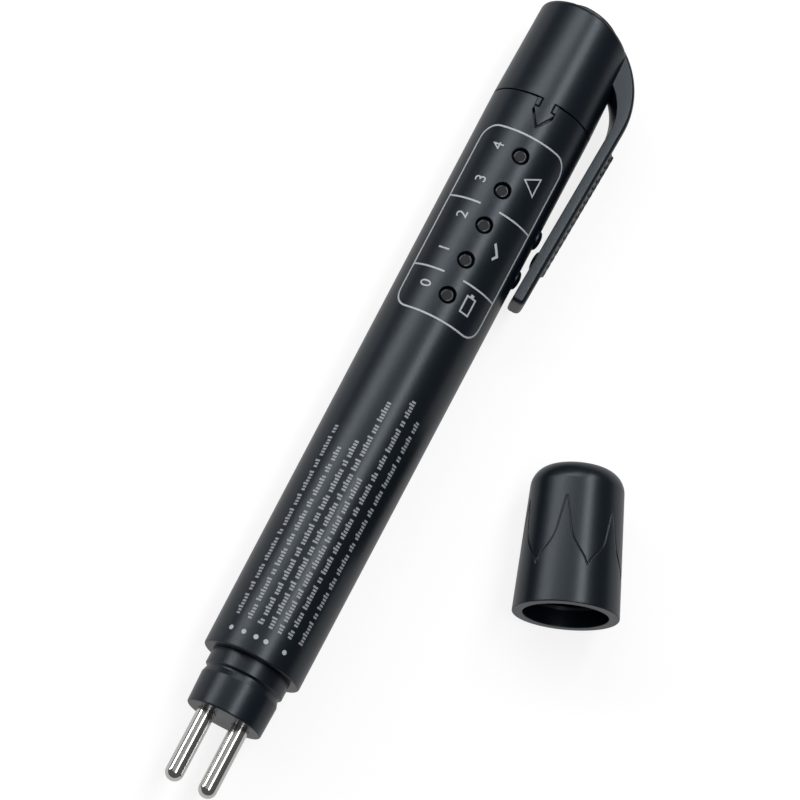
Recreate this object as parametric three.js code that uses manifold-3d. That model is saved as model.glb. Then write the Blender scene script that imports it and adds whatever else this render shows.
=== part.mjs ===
// A brake fluid test pen: a round barrel with a two-pin probe, five lamps, a pull-off
// end cap that carries a spring clip and a push button, and a loose probe cover.
// Lengths are millimetres. The pen lies along X with its probe towards -X, its lamps
// face up and its clip is on the -Y side. Positions along the pen are measured from
// the barrel's front shoulder.
import * as THREE from 'three';
import { mergeVertices } from 'three/addons/utils/BufferGeometryUtils.js';
import Module from 'manifold-3d';

const wasm = await Module();
wasm.setup();

// Fits and clearances shared by all the pieces
const pressGap = 0.05;
const slidingGap = 0.1;
const looseGap = 0.3;
const seamGap = 0.25;
const overrun = 2;
const mergeDistance = 0.0001;

// Facets
const roundSides = 48;
const batterySides = 32;
const smallSides = 20;
const lampSides = 16;
const bumpSides = 12;
const arcSteps = 12;
const roundingSteps = 4;
const lampRoundingSteps = 3;

// Barrel
const barrelLength = 109.2;
const boreRadius = 7;
const barrelWall = 1.78;
const barrelDraft = 0.49;
const shoulderBevel = 0.35;
const mouthLip = 0.8;
const mouthDepth = 2.5;
const spigotLength = 8;
const spigotWall = 0.85;
const spigotLead = 0.4;

// Arrow-shaped tongue of the cap, which keys into the barrel
const tongueLength = 5.2;
const tongueHeadLength = 3.45;
const tongueHalfWidth = 1.96;
const tongueNeckHalfWidth = 1.22;
const tongueNeckLength = 1.35;
const tongueSideGap = 0.08;
const tongueGrooveWidth = 0.3;
const tongueGrooveDepth = 0.3;

// Catches on the clip side of the barrel, on each side of the clip's nub
const catchSpacing = 8.1;
const catchOffset = 0.6;
const catchHalfLength = 1.75;
const catchHalfWidth = 1.7;
const catchHeight = 0.66;

// Nose
const noseLength = 10;
const noseFlange = 0.84;
const noseNeckLength = 2.7;
const noseGrooveWidth = 1.65;
const noseGrooveDepth = 0.45;
const noseGrooveSlope = 0.35;
const noseGrooveFloor = 0.3;
const noseCollarStep = 0.12;
const noseDraft = 0.16;
const noseEdge = 0.3;
const nosePlugLength = 6;

// Probe pins and the strips that carry them to the board
const pinRadius = 1.6;
const pinSpacing = 6.14;
const pinReach = 13;
const pinTail = 3.5;
const stripThickness = 0.3;
const stripWidth = 1.8;
const stripFoot = 5;

// Battery, a common small cell
const batteryLength = 44.5;
const batteryRadius = 5.25;
const batteryClearance = 0.2;
const batteryForward = 2.6;
const jacketThickness = 0.2;
const canRimInset = 0.5;
const canRimDepth = 0.5;
const nubRadius = 1.9;
const nubLength = 0.8;

// Circuit board and what it carries
const boardClearance = 0.5;
const boardThickness = 1;
const boardEdgeClearance = 0.38;
const boardRearClearance = 3.2;
const lampCount = 5;
const lampPitch = 6.98;
const lampInset = 11.1;
const lampRadius = 1.06;
const lampHoleRadius = 1.5;
const lampRecess = 0.45;
const lampFlangeRadius = 1.3;
const lampFlangeHeight = 0.6;
const resistorLength = 2;
const resistorWidth = 1.2;
const resistorHeight = 0.5;
const resistorOffset = 3.5;
const controllerPlaceShare = 0.41;
const controllerLength = 4.9;
const controllerWidth = 3.9;
const controllerHeight = 1.2;
const controllerLift = 0.1;
const legCount = 4;
const legWidth = 0.42;
const legReach = 0.7;
const legThickness = 0.2;
const supplyChipPlaceShare = 0.66;
const supplyChipLength = 2.9;
const supplyChipWidth = 1.6;
const supplyChipHeight = 1;
const coilPlaceShare = 0.69;
const coilSide = 4.6;
const coilHeight = 2.6;
const capacitorPlaceShare = 0.31;
const capacitorRadius = 2;
const capacitorLength = 7;
const capacitorBead = 0.25;

// Carrier that holds the board and the battery's front contact
const carrierFront = 18;
const carrierRearClearance = 8;
const railInset = 0.25;
const railTopWidth = 1.5;
const railDepth = 3;
const railThickness = 1.4;
const bulkheadThickness = 1.8;
const bulkheadBottomCut = 3;
const contactHalfWidth = 2.2;
const contactDrop = 2.2;

// Ground strip beside the battery
const groundHalfHeight = 1;
const groundTabLength = 2.5;
const groundToeReach = 1.8;
const groundTabFoot = 1.4;
const groundFrontInset = 4;

// End cap
const capLength = 19;
const capTaper = 0.42;
const capEdge = 0.8;
const partitionGap = 0.3;
const partitionThickness = 1.5;
const chamberRadius = 6.9;
const chamberEndDepth = 2.8;
const sweepCutAngle = 50;

// Push button and its contact
const buttonRadius = 6;
const buttonStand = 1.25;
const buttonTravel = 0.8;
const buttonEdge = 0.6;
const buttonFlange = 0.6;
const buttonFlangeThickness = 1;
const buttonWall = 1.2;
const buttonTop = 1.4;
const stemRadius = 2;
const plateRadius = 6.1;
const plateThickness = 0.5;

// Battery spring
const springWireRadius = 0.3;
const springLargeRadius = 3.9;
const springSmallRadius = 2.4;
const springTurns = 5;
const springStepsPerTurn = 8;
const springSides = 5;

// Clip
const clipWidth = 7;
const clipArchRadius = 16.3;
const clipArchThickness = 2.25;
const clipArchBack = 14.55;
const clipInnerRadius = 9.8;
const clipInnerBack = 1.45;
const clipInnerRise = 1.85;
const clipReach = 37;
const clipTipThickness = 2.35;
const clipTipStand = 10.02;
const clipTipEdge = 0.8;
const clipRootStand = 7.9;
const clipNubInset = 9.05;
const clipNubHalfLength = 1.75;
const clipNubCatchGap = 0.12;
const ribPitch = 1.49;
const ribRearInset = 5.2;
const ribFrontInset = 7.2;
const ribWidth = 0.9;
const ribFrontHeight = 0.4;
const ribRearHeight = 0.65;
const ribHalfLength = 2.6;
const ribRootDepth = 0.3;

// Probe cover, and where it lies
const coverLength = 25.7;
const coverWall = 1.82;
const coverMouthGap = 0.26;
const coverTaper = 1.1;
const coverEndRound = 3.9;
const coverEndWall = 2.2;
const coverNeckDepth = 11.5;
const coverInnerEndRadius = 5.3;
const coverInnerShoulder = 3;
const coverBead = 0.24;
const coverBeadHalf = 0.35;
const coverAngle = 20.4;
const coverMouthAlong = 32.8;
const coverMouthAside = 42.6;

// Sizes that follow from the ones above
const shoulderRadius = boreRadius + barrelWall;
const seamRadius = shoulderRadius + barrelDraft;
const mouthRadius = boreRadius - mouthLip;
const spigotRadius = boreRadius + spigotWall;
const capBoreRadius = spigotRadius + slidingGap;
const capFront = barrelLength + seamGap;
const capEnd = barrelLength + capLength;
const capEndRadius = seamRadius - capTaper;
const spigotEnd = barrelLength + spigotLength;
const partitionFront = spigotEnd + partitionGap;
const partitionBack = partitionFront + partitionThickness;
const chamberEnd = capEnd - chamberEndDepth;
const plateBack = partitionFront - slidingGap;
const plateFront = plateBack - plateThickness;
const archCentre = capEnd - clipArchBack;
const archTopStand = clipInnerRise + clipInnerRadius + clipArchThickness;
const archDrop = clipArchRadius - archTopStand;
const neckRadius = mouthRadius + noseFlange;
const plugRadius = mouthRadius - pressGap;
const pinCentre = pinSpacing / 2;
const pinEnd = nosePlugLength + pinTail;
const batteryDrop = boreRadius - batteryRadius - batteryClearance;
const boardBottom = batteryRadius - batteryDrop + boardClearance;
const boardTop = boardBottom + boardThickness;
const boardHalfWidth = chord(boreRadius, boardTop) - boardEdgeClearance;
const boardFront = pinEnd + looseGap + stripThickness;
const boardRear = barrelLength - boardRearClearance;
const lampPlaces = places(barrelLength - lampInset, -lampPitch, lampCount).reverse();
const lampMiddle = (lampPlaces[0] + lampPlaces[lampCount - 1]) / 2;
const batteryFront = lampMiddle - batteryForward - batteryLength / 2;
const batteryRear = batteryFront + batteryLength;
const bulkheadBack = batteryFront - stripThickness;
const bulkheadPlace = bulkheadBack - bulkheadThickness;
const boardSpan = bulkheadPlace - carrierFront;
const controllerPlace = carrierFront + boardSpan * controllerPlaceShare;
const supplyChipPlace = carrierFront + boardSpan * supplyChipPlaceShare;
const coilPlace = carrierFront + boardSpan * coilPlaceShare;
const capacitorPlace = carrierFront + boardSpan * capacitorPlaceShare;
const clipTip = archCentre - clipReach;
const clipNubPlace = clipTip + clipNubInset;
const catchMiddle = clipNubPlace - catchOffset;
const catchPlaces = [catchMiddle + catchSpacing / 2, catchMiddle - catchSpacing / 2];
const carrierRadius = boreRadius - looseGap;
const carrierRear = batteryRear - carrierRearClearance;

// Places at an equal pitch.
function places(first, pitch, count) {
  return Array.from({ length: count }, (_, place) => first + pitch * place);
}

function chord(radius, height) {
  return Math.sqrt(Math.max(radius * radius - height * height, 0));
}

function barrelRadiusAt(along) {
  return shoulderRadius + barrelDraft * along / barrelLength;
}

// Geometry helpers

function signedVolume(positions, index) {
  let volume = 0;
  const a = new THREE.Vector3();
  const b = new THREE.Vector3();
  const c = new THREE.Vector3();
  for (let i = 0; i < index.length; i += 3) {
    a.fromArray(positions, index[i] * 3);
    b.fromArray(positions, index[i + 1] * 3);
    c.fromArray(positions, index[i + 2] * 3);
    volume += a.dot(b.cross(c));
  }
  return volume;
}

// One closed skin: shared corners, no collapsed triangles, faces pointing out.
function closed(geometry) {
  const bare = new THREE.BufferGeometry();
  bare.setAttribute('position', geometry.getAttribute('position').clone());
  if (geometry.getIndex()) bare.setIndex(geometry.getIndex().clone());
  const merged = mergeVertices(bare, mergeDistance);
  const old = merged.getIndex().array;
  const index = [];
  for (let i = 0; i < old.length; i += 3) {
    const [a, b, c] = [old[i], old[i + 1], old[i + 2]];
    if (a !== b && b !== c && c !== a) index.push(a, b, c);
  }
  if (signedVolume(merged.getAttribute('position').array, index) < 0) index.reverse();
  merged.setIndex(index);
  return merged;
}

function toSolid(geometry) {
  const skin = closed(geometry);
  return new wasm.Manifold(new wasm.Mesh({
    numProp: 3,
    vertProperties: new Float32Array(skin.getAttribute('position').array),
    triVerts: new Uint32Array(skin.getIndex().array),
  }));
}

function toGeometry(solid) {
  const mesh = solid.getMesh();
  const geometry = new THREE.BufferGeometry();
  geometry.setAttribute('position', new THREE.BufferAttribute(mesh.vertProperties, 3));
  geometry.setIndex(new THREE.BufferAttribute(mesh.triVerts, 1));
  return geometry;
}

function joined(...geometries) {
  return toGeometry(geometries.map(toSolid).reduce((a, b) => a.add(b)));
}

function cut(body, ...tools) {
  return toGeometry(tools.map(toSolid).reduce((a, b) => a.subtract(b), toSolid(body)));
}

function kept(body, region) {
  return toGeometry(toSolid(body).intersect(toSolid(region)));
}

// A solid turned about X from a closed outline of [along, radius] points.
function turned(outline, sides = roundSides) {
  const points = outline.map(([along, radius]) => new THREE.Vector2(radius, along));
  points.push(points[0].clone());
  const geometry = new THREE.LatheGeometry(points, sides);
  geometry.rotateZ(-Math.PI / 2);
  return closed(geometry);
}

// The same, standing up along Z.
function turnedUpright(outline, sides) {
  const geometry = turned(outline, sides);
  geometry.rotateY(-Math.PI / 2);
  return geometry;
}

function block(x0, x1, y0, y1, z0, z1) {
  const geometry = new THREE.BoxGeometry(x1 - x0, y1 - y0, z1 - z0);
  geometry.translate((x0 + x1) / 2, (y0 + y1) / 2, (z0 + z1) / 2);
  return geometry;
}

// An outline of [x, y] points, given height along Z.
function raised(outline, z0, z1) {
  const shape = new THREE.Shape(outline.map(([x, y]) => new THREE.Vector2(x, y)));
  const geometry = new THREE.ExtrudeGeometry(shape, { depth: z1 - z0, bevelEnabled: false });
  geometry.translate(0, 0, z0);
  return geometry;
}

// An outline of [y, z] points, given length along X.
function drawnAlong(outline, x0, x1) {
  const geometry = raised(outline, x0, x1);
  const across = new THREE.Vector3(0, 1, 0);
  const up = new THREE.Vector3(0, 0, 1);
  const ahead = new THREE.Vector3(1, 0, 0);
  geometry.applyMatrix4(new THREE.Matrix4().makeBasis(across, up, ahead));
  return geometry;
}

// Points of an arc, the angles in degrees.
function arc(centreX, centreY, radius, from, to, steps) {
  const points = [];
  for (let i = 0; i <= steps; i += 1) {
    const angle = THREE.MathUtils.degToRad(from + (to - from) * i / steps);
    points.push([centreX + radius * Math.cos(angle), centreY + radius * Math.sin(angle)]);
  }
  return points;
}

// Barrel

function barrelBody() {
  return turned([
    [0, mouthRadius],
    [0, shoulderRadius - shoulderBevel],
    [shoulderBevel, shoulderRadius],
    [barrelLength, seamRadius],
    [barrelLength, spigotRadius],
    [spigotEnd - spigotLead, spigotRadius],
    [spigotEnd, spigotRadius - spigotLead],
    [spigotEnd, boreRadius],
    [mouthDepth, boreRadius],
    [mouthDepth, mouthRadius],
  ]);
}

// The tongue seen from above, grown by a gap on all sides.
function tongueOutline(gap, sideGap, rear) {
  const tip = barrelLength - tongueLength;
  const head = tip + tongueHeadLength;
  const half = tongueHalfWidth + sideGap;
  return [
    [tip - gap * tongueHeadLength / tongueHalfWidth, 0],
    [head, -half],
    [rear, -half],
    [rear, half],
    [head, half],
  ];
}

function tongueNotch() {
  const outline = tongueOutline(seamGap, tongueSideGap, barrelLength + overrun);
  return raised(outline, spigotRadius, seamRadius + overrun);
}

function lampHole(along) {
  const hole = turnedUpright([
    [0, 0],
    [0, lampHoleRadius],
    [seamRadius + overrun, lampHoleRadius],
    [seamRadius + overrun, 0],
  ], lampSides);
  hole.translate(along, 0, 0);
  return hole;
}

function barrelCatch(along) {
  const bump = new THREE.SphereGeometry(1, bumpSides, bumpSides / 2);
  bump.rotateX(Math.PI / 2);
  bump.scale(catchHalfLength, catchHeight, catchHalfWidth);
  bump.translate(along, -barrelRadiusAt(along), 0);
  return bump;
}

function barrel() {
  const body = joined(barrelBody(), ...catchPlaces.map(barrelCatch));
  return cut(body, tongueNotch(), ...lampPlaces.map(lampHole));
}

// Nose and probe

function pinShape(radius, front, rear) {
  const centre = front + radius;
  const tip = arc(centre, 0, radius, 180, 90, roundingSteps);
  return turned([...tip, [rear, radius], [rear, 0]], smallSides);
}

function pinHole(side) {
  const hole = turned([
    [-noseLength - overrun, 0],
    [-noseLength - overrun, pinRadius + pressGap],
    [nosePlugLength + overrun, pinRadius + pressGap],
    [nosePlugLength + overrun, 0],
  ], smallSides);
  hole.translate(0, side * pinCentre, 0);
  return hole;
}

function nose() {
  const grooveFront = -noseNeckLength - noseGrooveWidth;
  const grooveRear = -noseNeckLength - noseGrooveSlope;
  const grooveRadius = neckRadius - noseGrooveDepth;
  const collarRadius = neckRadius - noseCollarStep;
  const endRadius = collarRadius - noseDraft;
  const body = turned([
    [-noseLength, 0],
    [-noseLength, endRadius - noseEdge],
    [-noseLength + noseEdge, endRadius],
    [grooveFront, collarRadius],
    [grooveRear - noseGrooveFloor, grooveRadius],
    [grooveRear, grooveRadius],
    [-noseNeckLength, neckRadius],
    [0, neckRadius],
    [0, plugRadius],
    [nosePlugLength, plugRadius],
    [nosePlugLength, 0],
  ]);
  return cut(body, pinHole(1), pinHole(-1));
}

function probePin(side) {
  const pin = pinShape(pinRadius, -noseLength - pinReach, pinEnd);
  pin.translate(0, side * pinCentre, 0);
  return pin;
}

function pinContact(side) {
  const near = side * pinCentre - stripWidth / 2;
  const far = side * pinCentre + stripWidth / 2;
  const riser = block(pinEnd, pinEnd + stripThickness, near, far, -pinRadius, boardBottom);
  const footTop = boardBottom;
  const footRear = boardFront + stripFoot;
  const foot = block(pinEnd, footRear, near, far, footTop - stripThickness, footTop);
  return joined(riser, foot);
}

// Board and its parts

function circuitBoard() {
  return block(boardFront, boardRear, -boardHalfWidth, boardHalfWidth, boardBottom, boardTop);
}

function lamp(along) {
  const top = barrelRadiusAt(along) - lampRecess;
  const shoulder = top - lampRadius;
  const flangeTop = boardTop + lampFlangeHeight;
  const dome = arc(shoulder, 0, lampRadius, 90, 0, lampRoundingSteps);
  const body = turnedUpright([
    [boardTop, 0],
    [boardTop, lampFlangeRadius],
    [flangeTop, lampFlangeRadius],
    [flangeTop, lampRadius],
    ...dome,
  ], lampSides);
  body.translate(along, 0, 0);
  return body;
}

function resistor(along) {
  const middle = along - resistorOffset;
  const halfX = resistorWidth / 2;
  const halfY = resistorLength / 2;
  return block(middle - halfX, middle + halfX, -halfY, halfY, boardTop, boardTop + resistorHeight);
}

function controllerLeg(place) {
  const pitch = controllerLength / legCount;
  const middle = controllerPlace - controllerLength / 2 + pitch * (place + 1 / 2);
  const half = controllerWidth / 2 + legReach;
  const level = boardTop + controllerLift + legThickness;
  return block(middle - legWidth / 2, middle + legWidth / 2, -half, half, boardTop, level);
}

function controller() {
  const half = controllerLength / 2;
  const side = controllerWidth / 2;
  const bottom = boardTop + controllerLift;
  const top = boardTop + controllerHeight;
  const legs = Array.from({ length: legCount }, (_, place) => controllerLeg(place));
  const body = block(controllerPlace - half, controllerPlace + half, -side, side, bottom, top);
  return joined(body, ...legs);
}

function supplyChip() {
  const half = supplyChipLength / 2;
  const side = supplyChipWidth / 2;
  const top = boardTop + supplyChipHeight;
  return block(supplyChipPlace - half, supplyChipPlace + half, -side, side, boardTop, top);
}

function supplyCoil() {
  const half = coilSide / 2;
  const bottom = boardBottom - coilHeight;
  return block(coilPlace - half, coilPlace + half, -half, half, bottom, boardBottom);
}

function supplyCapacitor() {
  const front = capacitorPlace - capacitorLength / 2;
  const rear = capacitorPlace + capacitorLength / 2;
  const beadRadius = capacitorRadius - capacitorBead;
  const body = turned([
    [front, 0],
    [front, capacitorRadius],
    [rear - 3 * capacitorBead, capacitorRadius],
    [rear - 2 * capacitorBead, beadRadius],
    [rear - capacitorBead, capacitorRadius],
    [rear, capacitorRadius],
    [rear, 0],
  ], smallSides);
  body.translate(0, 0, boardBottom - capacitorRadius - pressGap);
  return body;
}

// Carrier

function railOutline(side) {
  const top = boardBottom;
  const low = boardBottom - railDepth;
  const radius = carrierRadius - railInset;
  const outerTop = chord(radius, top);
  const outerLow = chord(radius, low);
  const middle = (top + low) / 2;
  const points = [
    [outerTop - railTopWidth, top],
    [outerTop, top],
    [chord(radius, middle), middle],
    [outerLow, low],
    [outerLow - railThickness, low],
  ];
  return points.map(([y, z]) => [side * y, z]);
}

function bulkhead(front) {
  const disc = turned([
    [front, 0],
    [front, carrierRadius],
    [front + bulkheadThickness, carrierRadius],
    [front + bulkheadThickness, 0],
  ]);
  const low = -carrierRadius + bulkheadBottomCut;
  const rear = front + bulkheadThickness + overrun;
  const wide = carrierRadius + overrun;
  return kept(disc, block(front - overrun, rear, -wide, wide, low, boardBottom));
}

function circuitCarrier() {
  const rails = [1, -1].map((side) => drawnAlong(railOutline(side), carrierFront, carrierRear));
  return joined(...rails, bulkhead(carrierFront), bulkhead(bulkheadPlace));
}

// Battery and its contacts

function lowered(geometry) {
  geometry.translate(0, 0, -batteryDrop);
  return geometry;
}

function batteryCan() {
  const radius = batteryRadius - jacketThickness - pressGap;
  const front = batteryFront + nubLength;
  return lowered(turned([
    [batteryFront, 0],
    [batteryFront, nubRadius],
    [front, nubRadius],
    [front, radius - canRimInset],
    [front + canRimDepth, radius],
    [batteryRear - canRimDepth, radius],
    [batteryRear, radius - canRimInset],
    [batteryRear, 0],
  ], batterySides));
}

function batteryJacket() {
  const inner = batteryRadius - jacketThickness;
  const front = batteryFront + nubLength + canRimDepth;
  const rear = batteryRear - canRimDepth;
  return lowered(turned([
    [front, inner],
    [front, batteryRadius],
    [rear, batteryRadius],
    [rear, inner],
  ], batterySides));
}

function positiveContact() {
  const low = -batteryDrop - contactDrop;
  const half = contactHalfWidth;
  return block(bulkheadBack, bulkheadBack + stripThickness, -half, half, low, boardBottom);
}

function groundStrip() {
  const outer = chord(carrierRadius, groundHalfHeight);
  const inner = outer - stripThickness;
  const front = carrierRear + groundFrontInset * looseGap;
  const toeRear = plateFront - buttonTravel - pressGap;
  const rise = boardBottom;
  const footOuter = chord(carrierRadius, rise);
  const tab = drawnAlong([
    [inner, -groundHalfHeight],
    [outer, -groundHalfHeight],
    [outer, groundHalfHeight],
    [footOuter, rise],
    [footOuter - groundTabFoot, rise],
    [footOuter - groundTabFoot, rise - stripThickness],
    [footOuter - stripThickness, rise - stripThickness],
    [inner, groundHalfHeight - stripThickness],
  ], front, front + groundTabLength);
  const low = -groundHalfHeight;
  const high = groundHalfHeight;
  const strip = block(front, toeRear, inner, outer, low, high);
  const toe = block(toeRear - stripThickness, toeRear, outer - groundToeReach, outer, low, high);
  return joined(tab, strip, toe);
}

// End cap

function capShell() {
  const edge = arc(capEnd - capEdge, capEndRadius - capEdge, capEdge, 90, 0, roundingSteps);
  return turned([
    [capFront, capBoreRadius],
    [capFront, seamRadius],
    ...edge,
    [capEnd, buttonRadius + slidingGap],
    [chamberEnd, buttonRadius + slidingGap],
    [chamberEnd, chamberRadius],
    [partitionBack, chamberRadius],
    [partitionBack, stemRadius + looseGap],
    [partitionFront, stemRadius + looseGap],
    [partitionFront, capBoreRadius],
  ]);
}

function tongueBar() {
  const root = capFront + partitionGap;
  const bar = raised(tongueOutline(0, 0, root), capBoreRadius, seamRadius + overrun);
  const skin = turned([
    [barrelLength - tongueLength - overrun, 0],
    [barrelLength - tongueLength - overrun, barrelRadiusAt(barrelLength - tongueLength)],
    [barrelLength, seamRadius],
    [root, seamRadius],
    [root, 0],
  ]);
  return kept(bar, skin);
}

// The neck of the arrow, cut as a line into the tongue on each side.
function tongueGroove(side) {
  const neckEnd = barrelLength - tongueNeckLength;
  const neck = tongueNeckHalfWidth;
  const half = tongueGrooveWidth / 2;
  const bottom = chord(seamRadius, neck) - tongueGrooveDepth;
  const high = seamRadius + overrun;
  const wide = tongueHalfWidth + overrun;
  const inner = side > 0 ? neck - half : -neck - half;
  const alongNeck = block(neckEnd, capFront, inner, inner + tongueGrooveWidth, bottom, high);
  const from = side > 0 ? neck : -wide;
  const seam = block(barrelLength, capFront, from, from + wide - neck, bottom, high);
  const shoulder = block(neckEnd - half, neckEnd + half, from, from + wide - neck, bottom, high);
  return joined(alongNeck, seam, shoulder);
}

// Everything outside the round sweep that the cap's end and the clip share.
function sweepCutter() {
  const far = capEnd + clipArchRadius;
  const sweep = arc(archCentre, archDrop, clipArchRadius, 0, -sweepCutAngle, arcSteps);
  const [, lastY] = sweep[sweep.length - 1];
  return raised([...sweep, [far, lastY], [far, archDrop]], -clipArchRadius, clipArchRadius);
}

// The seat of the clip's root, which keeps a gap to the clip on every side.
function clipPocket() {
  const bottom = clipRootStand - looseGap;
  const top = seamRadius + looseGap;
  const radius = clipInnerRadius - looseGap;
  const from = THREE.MathUtils.radToDeg(Math.asin((bottom - clipInnerRise) / radius));
  const to = THREE.MathUtils.radToDeg(Math.asin((top - clipInnerRise) / radius));
  const front = arc(archCentre - clipInnerBack, clipInnerRise, radius, from, to, arcSteps);
  const far = capEnd + clipArchRadius;
  const half = clipWidth / 2 + looseGap;
  const outline = [...front, [far, top], [far, bottom]];
  return raised(outline.map(([x, y]) => [x, -y]), -half, half);
}

function endCap() {
  const body = joined(capShell(), tongueBar());
  return cut(body, tongueGroove(1), tongueGroove(-1), sweepCutter(), clipPocket());
}

// Push button and contact plate

function pushButton() {
  const top = capEnd + buttonStand;
  const flangeTop = chamberEnd - looseGap;
  const flangeBottom = flangeTop - buttonFlangeThickness;
  const innerRadius = buttonRadius - buttonWall;
  const rounding = arc(top - buttonEdge, buttonRadius - buttonEdge, buttonEdge, 0, 90, roundingSteps);
  return turned([
    [top, 0],
    ...rounding,
    [flangeTop, buttonRadius],
    [flangeTop, buttonRadius + buttonFlange],
    [flangeBottom, buttonRadius + buttonFlange],
    [flangeBottom, innerRadius],
    [top - buttonTop, innerRadius],
    [top - buttonTop, stemRadius],
    [plateBack, stemRadius],
    [plateBack, 0],
  ]);
}

function contactPlate() {
  return turned([
    [plateFront, 0],
    [plateFront, plateRadius],
    [plateBack, plateRadius],
    [plateBack, 0],
  ]);
}

class CoilCurve extends THREE.Curve {
  getPoint(share, target = new THREE.Vector3()) {
    const front = batteryRear + springWireRadius + pressGap;
    const rear = plateFront - springWireRadius - pressGap;
    const radius = springSmallRadius + (springLargeRadius - springSmallRadius) * share;
    const angle = 2 * Math.PI * springTurns * share;
    const along = front + (rear - front) * share;
    return target.set(along, radius * Math.cos(angle), radius * Math.sin(angle) - batteryDrop);
  }
}

function batterySpring() {
  const ring = arc(0, 0, springWireRadius, 0, 360, springSides).slice(0, springSides);
  const section = new THREE.Shape(ring.map(([x, y]) => new THREE.Vector2(x, y)));
  return new THREE.ExtrudeGeometry(section, {
    steps: springTurns * springStepsPerTurn,
    extrudePath: new CoilCurve(),
    bevelEnabled: false,
  });
}

// Clip

function clipFaceStand(along) {
  const archTop = clipInnerRise + clipInnerRadius;
  const archAlong = archCentre - clipInnerBack;
  const share = (along - clipTip) / (archAlong - clipTip);
  return clipTipStand + (archTop - clipTipStand) * share;
}

function clipOuterStand(along) {
  const start = clipTipStand + clipTipThickness;
  return start + (archTopStand - start) * (along - clipTip) / (archCentre - clipTip);
}

function nubTipStand() {
  return Math.max(...catchPlaces.map(barrelRadiusAt)) + catchHeight + clipNubCatchGap;
}

function clipOutline() {
  const innerX = archCentre - clipInnerBack;
  const innerFrom = THREE.MathUtils.radToDeg(Math.asin((clipRootStand - clipInnerRise) / clipInnerRadius));
  const rootRise = clipRootStand + archDrop;
  const outerFrom = THREE.MathUtils.radToDeg(Math.asin(rootRise / clipArchRadius));
  const outer = arc(archCentre, -archDrop, clipArchRadius, outerFrom, 90, arcSteps);
  const inner = arc(innerX, clipInnerRise, clipInnerRadius, 90, innerFrom, arcSteps);
  const edgeX = clipTip + clipTipEdge;
  const edgeOuter = clipTipStand + clipTipThickness - clipTipEdge;
  const tipOuter = arc(edgeX, edgeOuter, clipTipEdge, 90, 180, roundingSteps);
  const tipInner = arc(edgeX, clipTipStand + clipTipEdge, clipTipEdge, 180, 270, roundingSteps);
  return [...outer, ...tipOuter, ...tipInner, ...inner].map(([x, y]) => [x, -y]);
}

// The round bump on the clip's inner face, which rests between the two catches.
function clipNub() {
  const face = clipFaceStand(clipNubPlace);
  const nub = new THREE.SphereGeometry(1, bumpSides, bumpSides / 2);
  nub.rotateX(Math.PI / 2);
  nub.scale(clipNubHalfLength, face - nubTipStand(), clipNubHalfLength);
  nub.translate(clipNubPlace, -face, 0);
  return nub;
}

// The ribs stand higher towards the arch.
function clipRib(middle) {
  const stand = clipOuterStand(middle);
  const rear = archCentre - ribRearInset;
  const share = (rear - middle) / (rear - clipTip - ribFrontInset);
  const height = ribRearHeight + (ribFrontHeight - ribRearHeight) * share;
  return block(
    middle - ribWidth / 2, middle + ribWidth / 2,
    -stand - height, -stand + ribRootDepth,
    -ribHalfLength, ribHalfLength,
  );
}

function clip() {
  const body = raised(clipOutline(), -clipWidth / 2, clipWidth / 2);
  const rear = archCentre - ribRearInset;
  const ribCount = Math.floor((rear - clipTip - ribFrontInset) / ribPitch) + 1;
  return joined(body, clipNub(), ...places(rear, -ribPitch, ribCount).map(clipRib));
}

// Probe cover, turned about X with its mouth at the start

function probeCover() {
  const mouth = neckRadius + coverMouthGap;
  const outer = mouth + coverWall;
  const taper = (along) => outer - coverTaper * along / (coverLength - coverEndRound);
  const straightEnd = coverLength - coverEndRound;
  const endRound = arc(
    straightEnd, taper(straightEnd) - coverEndRound,
    coverEndRound, 90, 0, roundingSteps + 2,
  );
  const beadPlace = noseNeckLength + noseGrooveWidth / 2;
  const innerEnd = coverLength - coverEndWall;
  return turned([
    [0, mouth],
    [0, outer],
    ...endRound,
    [coverLength, 0],
    [innerEnd, 0],
    [innerEnd, coverInnerEndRadius - coverInnerShoulder],
    [innerEnd - coverInnerShoulder, coverInnerEndRadius],
    [coverNeckDepth + coverInnerShoulder, coverInnerEndRadius],
    [coverNeckDepth, mouth],
    [beadPlace + coverBeadHalf, mouth],
    [beadPlace, mouth - coverBead],
    [beadPlace - coverBeadHalf, mouth],
  ]);
}

// Scene

const black = new THREE.MeshStandardMaterial({ color: 0x20262c, roughness: 0.55, metalness: 0 });
const softBlack = new THREE.MeshStandardMaterial({ color: 0x2a3035, roughness: 0.6, metalness: 0 });
const nickel = new THREE.MeshStandardMaterial({ color: 0xc9ccd0, roughness: 0.18, metalness: 1 });
const steel = new THREE.MeshStandardMaterial({ color: 0xa9acb0, roughness: 0.35, metalness: 1 });
const smoked = new THREE.MeshStandardMaterial({ color: 0x1c2024, roughness: 0.12, metalness: 0 });
const greenBoard = new THREE.MeshStandardMaterial({ color: 0x1f5a34, roughness: 0.5, metalness: 0 });
const chipBlack = new THREE.MeshStandardMaterial({ color: 0x17181a, roughness: 0.5, metalness: 0 });
const carrierGrey = new THREE.MeshStandardMaterial({ color: 0x8b9096, roughness: 0.6, metalness: 0 });
const jacketBlue = new THREE.MeshStandardMaterial({ color: 0x2d5f9a, roughness: 0.4, metalness: 0 });

function piece(name, geometry, material) {
  const mesh = new THREE.Mesh(geometry, material);
  geometry.computeVertexNormals();
  mesh.name = name;
  return mesh;
}

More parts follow.
